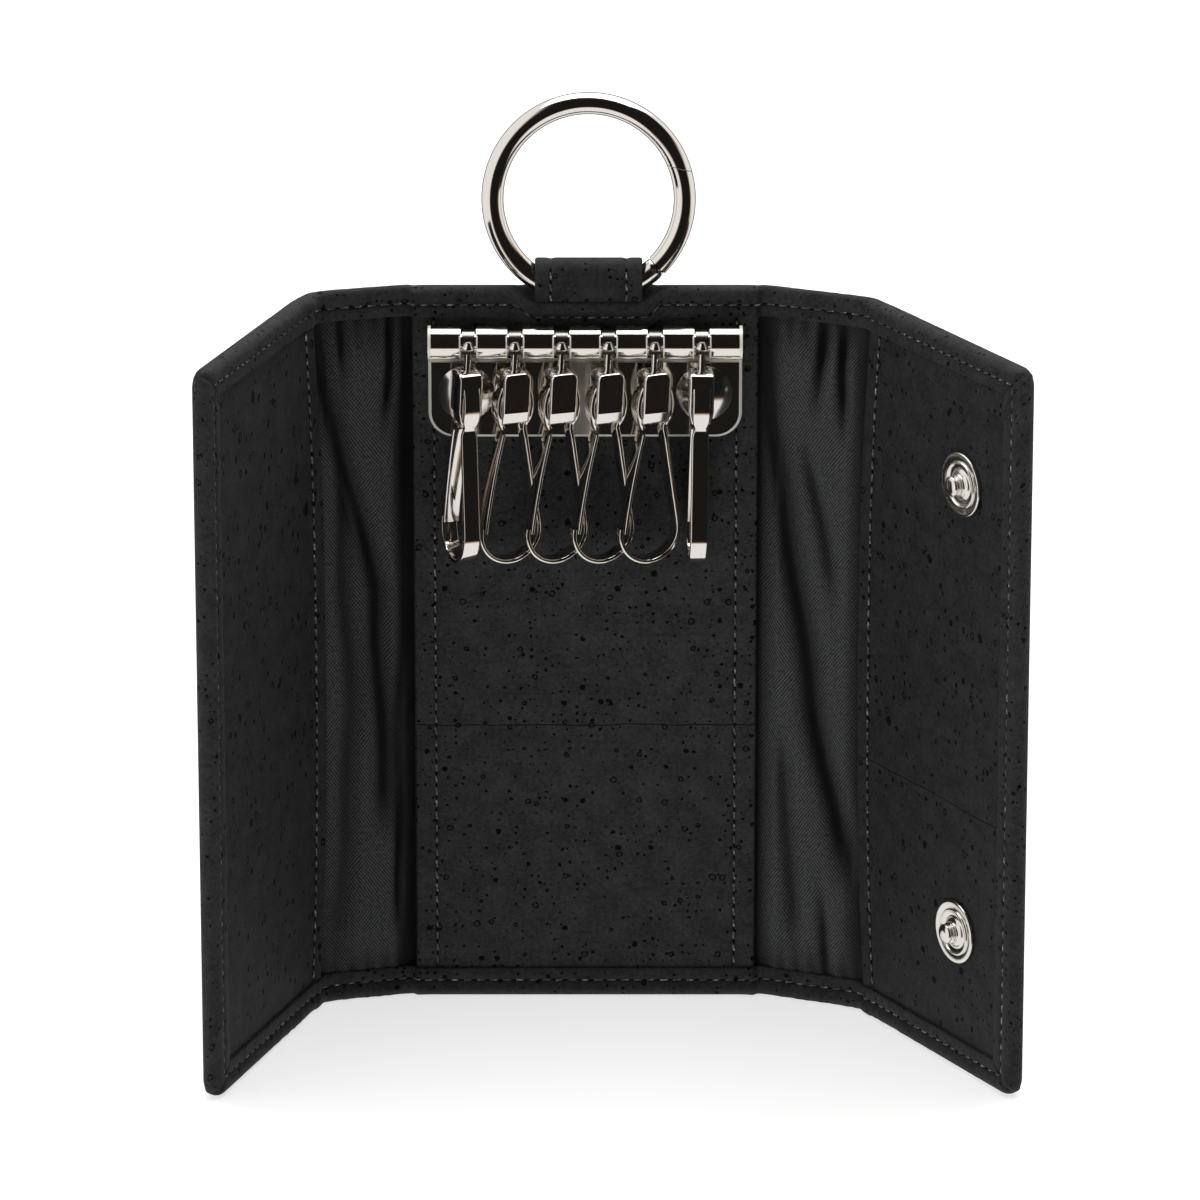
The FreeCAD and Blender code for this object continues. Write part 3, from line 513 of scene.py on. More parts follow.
def flap_cover(zone):
    """The cover of a flap: the hem's section carried round three sides, its back drawn to the middle line."""
    s = sizes()
    sign = SIGNS[zone.side]
    base = outer_place(zone.side)
    start = zone.start - base
    edge, inner = flap_outline(flap_width(zone.side), start)
    middle = stacked(start + 0.5 * (inner[:, 0] - start), HEIGHT / 2.0)
    x = sign * (base + edge[:, 0])
    level = front_level(x)
    out_d, out_y = hem_outside(level)
    in_d, in_y = hem_inside(level)
    cut = unrolled(out_d, out_y)
    out_y = add_wrinkles(out_d, out_y, x, 5)
    pleat = hump(np.arange(x.size), 97.5, 1.6) + hump(np.arange(x.size), x.size - 98.5, 1.6)
    out_y = out_y + 0.5e-3 * pleat * smooth((s.hem - out_d) / 3.0e-3) * smooth((BACK - out_y) / 1.5e-3)
    share = np.linspace(0.0, 1.0, 8)[1:, None]
    back_d = out_d[-1:] + (s.hem - out_d[-1:]) * np.minimum(1.0, share * 2.0)
    toward = np.clip(share * 2.0 - 1.0, 0.0, 1.0) + 0.0 * back_d
    pull = np.concatenate([0.0 * out_d, toward, toward[::-1], 0.0 * in_d])[..., None]
    y = np.concatenate([out_y, BACK + 0.0 * back_d, BOARD_BACK + 0.0 * back_d, in_y])

    def spread(d):
        plan = edge[None] + (inner - edge)[None] * (d / s.hem)[..., None]
        return plan + (middle[None] - plan) * pull

    plan = spread(np.concatenate([out_d, back_d, back_d[::-1], in_d]))
    flat_cut = spread(np.concatenate([cut, back_d, back_d[::-1], in_d]))
    flat = stacked(sign * (base + plan[..., 0]), y, plan[..., 1])
    uv = stacked(sign * (base + flat_cut[..., 0]), flat_cut[..., 1])
    return tube_piece(f"cover_{zone.name}", zone.bent(flat), left_out=[len(out_d) + len(back_d) - 1], uv=uv)


# Panels, lining and stitching

def flap_panel_edge(side, z):
    """Place of a flap panel's inner edge: at the crease at both ends, bowed over the lining between."""
    t = (2.0 * z - HEIGHT) / HEIGHT
    return outer_place(side) + 0.9e-3 - sizes().bow * (1.0 - np.abs(t) ** 2.6)


def panel_piece(name, side, low, high, free, seams, shift):
    """A flat panel: its front is rounded down at its free edges and sinks in a shallow valley along each line of
    stitching; low and high give its edges at each height."""
    z = np.linspace(sizes().seam, HEIGHT - sizes().seam, 70)
    low, high = low(z), high(z)
    step = ends_dense(0.13, 64, 26)[:, None]
    x = low + (high - low) * step
    drop = np.zeros_like(x)
    for end, inside in zip(free, (x - low, high - x)):
        if end:
            near = np.clip(inside / PANEL_EDGE, 0.0, 1.0)
            drop = np.maximum(drop, PANEL_EDGE * (1.0 - np.sqrt(1.0 - (1.0 - near) ** 2)))
    for from_low, offset in seams:
        inside = (x - low if from_low else high - x) - offset
        drop = drop + GROOVE_DEPTH * hump(inside, 0.0, GROOVE_WIDTH)
    across = there_and_back(x)
    depth = np.concatenate([PANEL_FRONT + drop, np.full_like(x, -0.05e-3)])
    flat = stacked(SIGNS.get(side, 1.0) * across, depth, z)
    uv = stacked(across + shift, z + 0.37 * shift)
    return tube_piece(name, fold_up(flat, side), uv=uv, crisp=radians(60))


LINING_VALLEYS = {
    "left": ((((121, 16.0), (105.7, 13.9), (82.7, 8.2), (70.7, 5.6), (41.7, 4.4), (30, 4.2)), 1.9, 0.85),
             (((90, 11.6), (81.8, 11.0), (50.2, 9.7), (24.6, 11.4), (8.4, 12.6)), 1.8, 0.6),
             (((121, 2.6), (108, 3.4), (98, 4.0)), 1.0, 0.8), (((121, 11.5), (110, 11.0), (104, 10.4)), 0.9, 0.6),
             (((60, 1.8), (40, 2.0), (12, 2.4)), 1.2, 0.5)),
    "right": ((((121, 0.6), (98.9, 2.1), (74.1, 6.6), (50.2, 10.3), (22.1, 16.4)), 2.0, 0.85),
              (((121, 12.0), (110, 11.2), (102, 10.0)), 1.1, 0.7), (((121, 15.4), (108, 14.6), (98, 14.4)), 1.0, 0.7),
              (((96, 8.4), (84, 11.0), (70, 13.2)), 1.3, 0.5), (((0, 12.5), (12, 12.0), (20, 11.4)), 1.0, 0.5),
              (((46, 4.2), (30, 6.0), (10, 7.0)), 1.5, 0.5)),
}


def slack_height(across, z, side):
    """Height of the lining: a pillow tied down at its sides and hems, less the valleys where it is drawn in.
    A valley is a bell across a line given by a few heights and places, which fades towards its ends."""
    hem = sizes().hem
    pillow = smooth(across / 4.0e-3) * smooth((fold_width(side) + 1.0e-3 - across) / 5.0e-3)
    tied = smooth((z - hem + 1e-3) / 9e-3) * smooth((HEIGHT - hem + 1e-3 - z) / 9e-3)
    height = pillow * (0.35 + 0.65 * tied)
    for line, wide, deep in LINING_VALLEYS[side]:
        heights, places = np.array(sorted(line)).T * 1e-3
        middle = np.interp(z, heights, places) + 0.25e-3 * np.sin(z * 210.0 + deep * 9.0)
        inside = smooth((z - heights[0] + 4e-3) / 12e-3) * smooth((heights[-1] + 4e-3 - z) / 12e-3)
        height = height - deep * inside * hump(across, middle, wide * 1e-3) * np.minimum(1.0, height * 1.3)
    ripple = 0.06 * np.sin(across * 2300.0 + 40.0 * z) * (1.0 - tied)
    return np.maximum(0.0, height + ripple * pillow)


def painted_fold_shading(height, step):
    """Painted light and shade on the lining's folds: painted highlights on ridges and on slopes facing left, painted
    shade in the valleys and at the tied edges.
    """
    slope = np.clip(sizes().slack * np.gradient(height, step, axis=0), -0.8, 0.8)
    return np.clip(0.02 + 0.85 * height + 0.65 * slope, 0.01, 1.25)


def lining_piece(zone, low, high):
    """Half of a fold zone's lining: a thin closed sheet whose front follows the slack's height."""
    sign = SIGNS[zone.side]
    x = np.linspace(low, high, 90)
    z = np.linspace(sizes().seam, HEIGHT - sizes().seam, 280)
    height = slack_height((x - CENTRE_HALF)[:, None], z[None, :], zone.side)
    front = 0.2e-3 - sizes().slack * height
    # tone is painted light and shade for the folds, stored on the mesh
    tone = painted_fold_shading(height, sign * (x[1] - x[0]))
    across = there_and_back(x)[:, None]
    depth = np.concatenate([front, front[::-1] + LINING_THICKNESS])
    flat = stacked(sign * across, depth, z)
    return tube_piece(f"lining_{zone.name}", zone.bent(flat), uv=stacked(across, z), tone=there_and_back(tone),
                      crisp=radians(70))


def beads(middle, way, lean, long, thick, lift, depth):
    """Small ellipsoids along a seam on the flat case, each dipping at both ends: long by thick, lifted off the
    depth that the surface has there."""
    side = stacked(-way[:, 1], way[:, 0])
    t = np.linspace(-1.0, 1.0, 7)[None, :, None]
    a = np.linspace(0.0, 2.0 * pi, 6, endpoint=False)[None, None, :]
    girth = thick * np.sqrt(np.maximum(0.0, 1.0 - t ** 4))
    u = t * long / 2.0
    v = girth * np.cos(a) + lean[:, None, None] * u
    rise = girth * np.sin(a) + lift * (1.0 - t ** 2)
    x, z = (middle[:, k, None, None] + u * way[:, k, None, None] + v * side[:, k, None, None] for k in (0, 1))
    return stacked(x, depth(x, z) - rise, z)


def stitch_row(path, depth, seed):
    """Stitches and needle holes along a seam given by its points: thread beads with a dark bead in each gap, which is
    painted shade for the needle hole.
    """
    s = sizes()
    chance = np.random.default_rng(seed)
    path = np.asarray(path)
    reach = np.concatenate([[0.0], np.cumsum(np.linalg.norm(np.diff(path, axis=0), axis=1))])
    count = max(1, round(reach[-1] / s.pitch))

    def at(length_along):
        return stacked(*(np.interp(length_along, reach, path[:, k]) for k in (0, 1)))

    def run(steps):
        place = steps * reach[-1] / count
        way = at(place + 0.3e-3) - at(place - 0.3e-3)
        return at(place), way / np.linalg.norm(way, axis=1)[:, None]

    lean = chance.normal(0.08, 0.05, count)
    thread = beads(*run(np.arange(count) + 0.5), lean, s.stitch, s.thread, 0.6 * s.thread, depth)
    holes = beads(*run(np.arange(count) + 1.0), 0.0 * lean, HOLE_LENGTH, HOLE_RADIUS, -0.05e-3, depth)
    return thread, holes


def stitches_piece(name, rows, bent):
    """Seams' stitches and holes in one piece, the thread in its first material and the holes in its second."""
    thread, holes = (np.concatenate([row[k] for row in rows]) for k in (0, 1))
    points = np.concatenate([thread, holes])
    count, along, around = points.shape[:3]
    index = np.arange(along * around).reshape(along, around).T.ravel()
    one = index[grid_faces(around, along)]
    faces = one[None] + (np.arange(count) * along * around)[:, None, None]
    slots = np.repeat((np.arange(count) >= len(thread)).astype(np.int32), len(one))
    return mesh_piece(name, bent(points.reshape(-1, 3)), faces.reshape(-1, 4).tolist(), slots=slots)


def hem_seam_depth(x, z):
    """Depth of the hem's valley along its seam."""
    valley = front_level(x) - 0.42 * sizes().lip
    return valley + bulge(x, valley, z)


def panel_seam_depth(x, z):
    return PANEL_FRONT + 0.17e-3 + 0.0 * x


# The ring's strap

def strap_frame():
    """The strap's own axes: where it flexes, and up along its leaning height."""
    axis = np.array(JOINTS["strap_flex"]["pos_m"])
    ring = np.array(JOINTS["ring_spin"]["pos_m"]) - axis
    return axis, ring / np.linalg.norm(ring)


def strap_sizes():
    """Half width, outer radius and the rise of the fold over the ring, read from the strap's solid."""
    low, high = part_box("ring_strap")
    axis, up = strap_frame()
    local = node_points("ring_strap") - axis
    height = local @ up
    front = local @ np.array([0.0, -up[2], up[1]])
    return (high.x - low.x) / 2.0, float(front.max()), float(height.max() - front.max())


def strap_half(height, radius):
    """Half the strap's thickness at a height: full over the ring, drawn in below it with a smoothstep."""
    thin = sizes().strap_skin * 1.05
    return thin + (radius - thin) * smooth((height + STRAP_FOOT) / (STRAP_FOOT + 1.8e-3))


def strap_points(across, height, half):
    """Places points given across the strap, up it and out of its middle plane."""
    axis, up = strap_frame()
    out = np.array([0.0, -up[2], up[1]])
    return axis + across[..., None] * np.array([1.0, 0.0, 0.0]) + height[..., None] * up + half[..., None] * out


def strap_piece():
    """The strap: a closed section that goes up the front, over the ring as a half circle and down the back,
    carried across the strap with rounded side edges."""
    width, radius, rise = strap_sizes()
    inset = np.array([0.0, 0.06e-3, 0.2e-3, 0.42e-3])
    sink = 0.36e-3 * (1.0 - np.sqrt(1.0 - (1.0 - inset / inset[-1]) ** 2))
    inner = np.linspace(-width + inset[-1], width - inset[-1], 62)[1:-1]
    x = np.concatenate([-width + inset, inner, (width - inset)[::-1]])
    seam = sum(0.16e-3 * hump(x, way * sizes().strap_seam, GROOVE_WIDTH) for way in (-1.0, 1.0))
    shrink = np.concatenate([sink, 0.0 * inner, sink[::-1]]) + seam
    up = np.linspace(-STRAP_FOOT, rise, 40)
    turn = np.linspace(0.0, pi, 25)[1:-1]

    def section(skin):
        reach = np.maximum(strap_half(up, radius) - skin, 0.02e-3)
        top = radius - skin
        height = np.concatenate([up, rise + top * np.sin(turn), up[::-1]])
        return height, np.concatenate([reach, top * np.cos(turn), -reach[::-1]])

    outer, inside = section(0.0), section(sizes().strap_skin)
    height, half = (np.concatenate([outer[k], inside[k][::-1]])[:, None] for k in (0, 1))
    hide = np.concatenate([np.ones_like(outer[0]), np.zeros_like(inside[0])])[:, None]
    middle = np.clip(height, None, rise)
    length_out = np.hypot(half, height - middle)
    scale = 1.0 - hide * shrink / np.maximum(length_out, 0.4e-3)
    points = strap_points(x, middle + (height - middle) * scale, half * scale)
    steps = np.hypot(np.diff(height, axis=0), np.diff(half, axis=0))
    along = np.concatenate([0.0 * height[:1], np.cumsum(steps, axis=0)])
    return tube_piece("strap", points, uv=stacked(x + 0.31, along + 0.17), crisp=radians(60))


def place_strap(piece):
    """Bakes the transform of a strap piece, which lies between the case and the ring."""
    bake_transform(piece)


def strap_stitches():
    """Two seams up the strap's front and down its back, as rows on a flat strip wrapped on the section."""
    _, radius, rise = strap_sizes()
    rows = [stitch_row([(way * sizes().strap_seam, -STRAP_FOOT), (way * sizes().strap_seam, rise + 1.2e-3)],
                       lambda x, z: 0.0 * x, 12 + way) for way in (-1, 1)]

    def wrap(points):
        height, lift = points[:, 2], -points[:, 1] - 0.14e-3
        over = np.clip(height - rise, 0.0, None) / radius
        straight = np.minimum(height, rise)
        half = (strap_half(straight, radius) + lift) * np.cos(over)
        up = straight + (radius + lift) * np.sin(over)
        return [strap_points(points[:, 0], up, way * half) for way in (1.0, -1.0)]

    both = []
    for k in (0, 1):
        group = np.concatenate([row[k] for row in rows])
        both.append(np.concatenate([face.reshape(group.shape) for face in wrap(group.reshape(-1, 3))]))
    return stitches_piece("strap_stitching", [both], lambda points: points)


# Hooks

def arc(start, middle, end, count):
    """Points of the circle through three points, from the first to the last by way of the second."""
    a, b = middle - start, end - start
    square = np.array([a @ a, b @ b]) / 2.0
    centre = start + np.linalg.solve(np.stack([a, b]), square)
    angles = np.unwrap([np.arctan2(*(p - centre)[::-1]) for p in (start, middle, end)])
    turn = np.linspace(angles[0], angles[2], count)
    return centre + np.hypot(*(start - centre)) * stacked(np.cos(turn), np.sin(turn))


def loop_path():
    """The middle line of the carrying strip as places across and drops: the left arm, the run under the bridge,
    the right arm and leg, and the round end up to the nose."""
    h = hook_sizes()
    waist, arm, top = (np.array([getattr(h, f"{place}_half"), getattr(h, f"{place}_drop")])
                       for place in ("waist", "bulge", "top"))
    flip = np.array([-1.0, 1.0])
    low = np.array([0.0, h.drop])
    reach = waist - low
    leave = np.arctan2(reach[1], reach[0]) + np.arccos(h.radius / np.hypot(*reach))
    turn = np.linspace(leave, pi + radians(10.0), 90)
    end = low + h.radius * stacked(np.cos(turn), np.sin(turn))
    run = np.linspace(-1.0, 1.0, 12)[1:-1, None]
    leg = waist + (end[0] - waist) * np.linspace(0.0, 1.0, 60)[1:-1, None]
    return np.concatenate([arc(waist * flip, arm * flip, top * flip, 50), run * top * (1, 0) + top * (0, 1),
                           arc(top, arm, waist, 50), leg, end])


def gate_path():
    """The middle line of the gate, bowed outwards a little."""
    h = hook_sizes()
    start, end = np.array([-h.waist_half, h.gate_start]), np.array([-h.gate_half, h.gate_end])
    return arc(start, (start + end) / 2.0 - (h.gate_bow, 0.0), end, 70)


def even(path, step):
    """The path at even steps, its corners rounded with a short running mean."""
    run = np.concatenate([[0.0], np.cumsum(np.hypot(*np.diff(path, axis=0).T))])
    at = np.linspace(0.0, run[-1], int(run[-1] / step))
    points = stacked(*(np.interp(at, run, path[:, k]) for k in (0, 1)))
    reach = 3
    padded = np.concatenate([2.0 * points[:1] - points[reach:0:-1], points,
                             2.0 * points[-1:] - points[-2:-reach - 2:-1]])
    window = np.ones(2 * reach + 1) / (2 * reach + 1)
    return stacked(*(np.convolve(padded[:, k], window, "valid") for k in (0, 1)))


def rounded(wide, deep, radius, count):
    """A rectangle of these half sizes with rounded corners, each of count points, as its two coordinates."""
    turn = (np.linspace(0.0, pi / 2.0, count) + (np.arange(4) * pi / 2.0)[:, None]).ravel()[:, None]
    corner = np.repeat(np.array([[1, 1], [-1, 1], [-1, -1], [1, -1]]), count, axis=0)
    return (corner[:, :1] * (wide - radius) + radius * np.cos(turn),
            corner[:, 1:] * (deep - radius) + radius * np.sin(turn))


def strip_piece(name, path, thickness, hook):
    """A strip with rounded edges bent along a path: a rounded rectangle, narrowed at the notch, carried along
    the path in the hook's own plane."""
    h = hook_sizes()
    path = even(path, STRIP_STEP)
    way = np.gradient(path, axis=0)
    way = way / np.hypot(*way.T)[:, None]
    half = h.width / 2.0 - h.notch * hump(path[:, 1], h.notch_drop, 0.9e-3)
    wide, deep = rounded(half, thickness / 2.0, h.round, 5)
    across, drop = path[:, 0] + deep * way[:, 1], path[:, 1] - deep * way[:, 0]
    return tube_piece(name, hung(hook, across, drop, wide), crisp=radians(50))


def hung(hook, across, drop, wide):
    """Places in a hook's own frame, across its loop, down from the rod and along the strips' width, as points."""
    swivel, gate = JOINTS[f"hook_{hook}_swivel"], JOINTS[f"hook_{hook}_gate_hinge"]
    down, front = np.array(swivel["axis"]), np.array(gate["axis"])
    right = np.cross(front, down)
    return np.array(swivel["pos_m"]) + across[..., None] * right + drop[..., None] * down + wide[..., None] * front


def clip_piece(name, hook):
    """A swivel pin that widens into its clip: rounded rectangles carried down the pin's axis. The pin's have no
    straight sides, the clip's grow out of it round a quarter circle, and its foot slopes in."""
    h = hook_sizes()
    quarter = np.linspace(0.0, pi / 2.0, 9)
    top, low = 1.5 * h.clip_round, h.clip_round
    down = np.concatenate([[-0.95e-3, -0.92e-3, -0.5e-3, -0.05e-3, -0.049e-3], np.linspace(0.0, h.clip_top, 8),
                           h.clip_top + top * (1.0 - np.cos(quarter)),
                           np.linspace(h.clip_top + 1.05 * top, h.clip_end - h.clip_foot - low, 20),
                           h.clip_end - h.clip_foot + np.linspace(-0.1e-3, 0.1e-3, 5),
                           np.linspace(h.clip_end - h.clip_foot + 0.3e-3, h.clip_end - 1.2 * low, 6),
                           h.clip_end - low * (1.0 - np.sin(quarter)), [h.clip_end + 1e-6]])
    pin = np.interp(down, [-0.95e-3, -0.92e-3, -0.05e-3, -0.049e-3], [0.3 * h.pin, 0.8 * h.pin, h.pin_head, h.pin])

    def inset(reach, away):
        return reach * (1.0 - np.sqrt(1.0 - np.clip(1.0 - away / reach, 0.0, 1.0) ** 2))

    slope = h.clip_slope * np.clip((down - h.clip_end + h.clip_foot) / h.clip_foot, 0.0, 1.0)
    clip = down > h.clip_top
    foot = inset(low, h.clip_end - down)
    half = np.where(clip, h.clip_half - inset(1.6 * top, down - h.clip_top) - foot, pin)
    deep = np.where(clip, h.clip_deep - inset(0.7 * top, down - h.clip_top) - foot - slope, pin)
    edge = np.where(clip, h.clip_round, pin)
    wide, across = rounded(deep, half, edge, 6)
    return tube_piece(name, hung(hook, across, down, wide), crisp=radians(40))


STUD_PROFILE = ((0.02, 0), (4.8, 0), (5.2, 0.08), (5.2, 0.5), (5.0, 0.7), (4.3, 0.62), (3.9, 0.5), (3.78, 0.5),
                (3.72, 0.74), (3.5, 0.74), (3.44, 0.5), (2.9, 0.3), (2.5, 0.3), (2.2, 0.7), (1.75, 0.85), (1.7, 1.1),
                (1.45, 1.16), (1.45, 1.26), (1.68, 1.34), (1.68, 1.52), (1.4, 1.6), (1.35, 1.8), (1.58, 1.95),
                (1.62, 2.25), (1.3, 2.55), (0.75, 2.72), (0.02, 2.75))


def studs_piece():
    """Both press studs: a profile of radii and heights, rounded by cutting its corners twice, turned round each
    stud's axis on the flat case. It has a rolled rim, a raised ring, a dish, two collars and a ball head."""
    s = sizes()
    profile = np.array(STUD_PROFILE) * 1e-3
    for _ in range(2):
        cuts = np.stack([0.75 * profile[:-1] + 0.25 * profile[1:], 0.25 * profile[:-1] + 0.75 * profile[1:]], axis=1)
        profile = np.concatenate([profile[:1], cuts.reshape(-1, 2), profile[-1:]])
    rows, columns = 64, len(profile)
    radius, rise = profile.T
    turn = np.linspace(0.0, 2.0 * pi, rows, endpoint=False)[:, None]
    middle = np.array([HEIGHT - s.stud_spacing, HEIGHT + s.stud_spacing])[:, None, None] / 2.0
    z = middle + radius * np.sin(turn)
    flat = stacked(outer_place("right") + s.stud_reach + radius * np.cos(turn), PANEL_FRONT - rise, z)
    faces = [face for first in (0, rows * columns) for face in tube_faces(rows, columns, first=first)]
    return mesh_piece("snap_studs", fold_up(flat, "right"), faces, crisp=radians(60))


# Finishes

class Wire:
    """A shader socket whose arithmetic adds Math nodes."""

    def __init__(self, nodes, socket):
        self.nodes, self.socket = nodes, socket

    def math(self, operation, *values):
        return self.nodes.node("ShaderNodeMath", {"operation": operation}, dict(enumerate(values)))

    def __add__(self, other):
        return self.math("ADD", self, other)

    def __sub__(self, other):
        return self.math("SUBTRACT", self, other)

    def __rsub__(self, other):
        return self.math("SUBTRACT", other, self)

    def __mul__(self, other):
        return self.math("MULTIPLY", self, other)

    def __truediv__(self, other):
        return self.math("DIVIDE", self, other)

    __radd__ = __add__
    __rmul__ = __mul__

    def sine(self):
        return self.math("SINE", self)

    def size(self):
        return self.math("ABSOLUTE", self)

    def most(self, other):
        return self.math("MAXIMUM", self, other)

    def above(self, limit):
        return self.math("GREATER_THAN", self, limit)

    def step(self, low, high):
        """Smoothly from 0 at low to 1 at high."""
        return self.nodes.node("ShaderNodeMapRange", {"interpolation_type": "SMOOTHSTEP"},
                               {"Value": self, "From Min": low, "From Max": high})


class Nodes:
    """A node tree, and the few kinds of node that the finishes use."""

    def __init__(self, tree):
        self.tree = tree

    def feed(self, socket, value):
        if isinstance(value, Wire):
            self.tree.links.new(value.socket, socket)
        elif hasattr(value, "__len__"):
            socket.default_value = (*value, 1.0) if len(socket.default_value) == 4 else tuple(value)
        else:
            socket.default_value = value

    def node(self, kind, settings=None, sockets=None, output=0):
        """Adds a node of a kind, with its settings and the values or links of its sockets."""
        made = self.tree.nodes.new(kind)
        for name, value in (settings or {}).items():
            setattr(made, name, value)
        for key, value in (sockets or {}).items():
            self.feed(made.inputs[key], value)
        return Wire(self, made.outputs[output])

    def here(self):
        return self.node("ShaderNodeTexCoord", output="Object")

    def cut(self):
        return self.node("ShaderNodeUVMap", {"uv_map": "Cut"})

    def noise(self, place, scale, detail=3.0, rough=0.55, output=0):
        return self.node("ShaderNodeTexNoise", sockets={"Vector": place, "Scale": scale, "Detail": detail,
                                                        "Roughness": rough}, output=output)

    def cells(self, place, scale, output="Distance"):
        return self.node("ShaderNodeTexVoronoi", {"voronoi_dimensions": "2D"}, {"Vector": place, "Scale": scale},
                         output=output)

    def part(self, vector, axis):
        return self.node("ShaderNodeSeparateXYZ", sockets={0: vector}, output=axis)

    def mix(self, share, low, high):
        return self.node("ShaderNodeMix", {"data_type": "RGBA"}, {0: share, 6: low, 7: high}, output=2)

    def vector(self, operation, first, second):
        return self.node("ShaderNodeVectorMath", {"operation": operation}, {0: first, 1: second})


class Finish(Nodes):
    """A material with one principled shader, and the nodes that feed it."""

    def __init__(self, name, **constants):
        self.material = bpy.data.materials.new(name)
        self.material.use_nodes = True
        super().__init__(self.material.node_tree)
        self.shader = self.tree.nodes["Principled BSDF"]
        self.paint(**constants)

    def paint(self, **values):
        for socket, value in values.items():
            self.feed(self.shader.inputs[socket.replace("_", " ")], value)

    def bump(self, height, strength, distance):
        normal = self.node("ShaderNodeBump", sockets={"Height": height, "Strength": strength, "Distance": distance})
        self.paint(Normal=normal)


def cork_finish(name, joint=None, painted_shade=1.0, fine=1.0, tall=1.0):
    """Dyed cork: fibrous grain, dark ragged pores of mixed sizes, ring-shaped ones and a faint mottle, with a painted
    shade that darkens its tone for pieces that take less light, a fineness that scales its pores' number and a
    tallness that draws them out."""
    cork = Finish(name, Specular_IOR_Level=0.09, Sheen_Weight=0.03, Sheen_Roughness=0.4)
    flat = cork.cut()
    ragged = cork.vector("SUBTRACT", cork.noise(flat, 1500.0, 2.0, output="Color"), (0.5, 0.5, 0.5))
    place = cork.vector("ADD", flat, cork.vector("MULTIPLY", ragged, (0.6e-3, 0.6e-3, 0.0)))
    place = cork.vector("MULTIPLY", place, (1.0, 1.0 / tall, 1.0))
    gathered = cork.noise(flat, 90.0, 1.0).step(0.36, 0.56)

    def pores(scale, share, least, most, soft):
        chance = cork.cells(place, scale, "Color")
        reach = least + (most - least) * cork.part(chance, "X") * cork.part(chance, "X")
        inside = 1.0 - (cork.cells(place, scale) - reach).step(-soft, soft)
        return inside * cork.part(chance, "Y").above(1.0 - share * (0.45 + 0.55 * gathered))

    small = pores(820.0 * fine, 0.42, 0.08, 0.24, 0.05)
    large = pores(360.0 * fine, 0.16, 0.08, 0.19, 0.03)
    picked = cork.cells(place, 230.0, "Color")
    radius = 0.05 + 0.06 * cork.part(picked, "Z")
    apart = cork.cells(place, 230.0)
    chosen = cork.part(picked, "Y").above(0.66)
    rings = (1.0 - (apart - radius).size().step(0.014, 0.042)) * chosen
    floors = (1.0 - apart.step(0.0, radius)) * chosen
    mottle = cork.noise(flat, 240.0, 4.0, 0.6)
    fibre = cork.noise(cork.vector("MULTIPLY", flat, (0.5, 1.0, 1.0)), 3400.0, 4.0, 0.75)
    grain = 0.5 * fibre + 0.5 * cork.noise(place, 1300.0, 3.0, 0.7)
    pits = small.most(large)
    height = 0.35 * grain + 0.4 * mottle - 0.8 * pits - 0.45 * rings
    dark = pits + 0.8 * rings + 0.3 * floors
    if joint is not None:
        wander = cork.noise(flat, 120.0, 1.0) * 0.9e-3
        line = 1.0 - (cork.part(cork.here(), "Z") - joint - wander).size().step(0.03e-3, 0.14e-3)
        height = height - 0.5 * line
        dark = dark + 0.75 * line
    tone = 0.4 * mottle.step(0.25, 0.8) + 0.6 * grain.step(0.34, 0.66)
    # The painted shade darkens both skin tones alike: a shaded copy of the same cork
    skin = cork.mix(tone, *(scaled(colours().cork, depth * painted_shade) for depth in (0.4, 1.65)))
    cork.paint(Base_Color=cork.mix(dark.step(0.0, 0.85), skin, colours().pore),
               Roughness=0.52 + 0.16 * grain + 0.1 * pits)
    cork.bump(height, 0.6, 0.2e-3)
    return cork.material


def twill_finish():
    """Lining twill: diagonal ribs along the cut of the cloth, broken into single yarns, which are lightened on the
    folds as much as the painted fold light and shade says."""
    twill = Finish("lining_twill", Specular_IOR_Level=0.15, Sheen_Weight=0.04, Sheen_Roughness=0.3)
    cut = twill.cut()
    x, y = (twill.part(cut, axis) + 0.5e-3 * twill.noise(cut, scale, 1.0)
            for axis, scale in (("X", 130.0), ("Y", 170.0)))
    rise, fall = (0.5 + 0.5 * ((x + slope * y) * (2.0 * pi / TWILL_PERIOD)).sine() for slope in (0.75, -0.75))
    lean = twill.noise(cut, 120.0, 1.0).step(0.38, 0.62)
    rib = rise * (0.25 + 0.75 * lean) + fall * (1.0 - 0.75 * lean)
    weave = (0.3 + 0.7 * rib) * (0.2 + 1.6 * twill.noise(cut, 1700.0, 3.0, 0.7))
    # The mesh attribute holds the painted fold light and shade, which scales how much light yarn shows
    painted_fold_light = twill.node("ShaderNodeAttribute", {"attribute_name": "Tone"}, output="Fac")
    twill.paint(Base_Color=twill.mix(weave.step(0.2, 1.25) * painted_fold_light, colours().cloth, colours().yarn),
                Roughness=0.62 - 0.2 * weave)
    twill.bump(weave, 0.45, 0.1e-3)
    return twill.material


def thread_finish():
    """Waxed sewing thread: a dark twist with light specks that are painted glints."""
    thread = Finish("sewing_thread", Specular_IOR_Level=0.5)
    glint_speck = thread.noise(thread.here(), 1500.0, 2.0)
    # The specks are lightened sixfold: painted glints
    tone = thread.mix(glint_speck.step(0.5, 0.7), colours().thread, scaled(colours().thread, 6.0))
    thread.paint(Base_Color=tone, Roughness=0.45 + 0.2 * glint_speck)
    thread.bump(glint_speck, 0.4, 0.1e-3)
    return thread.material


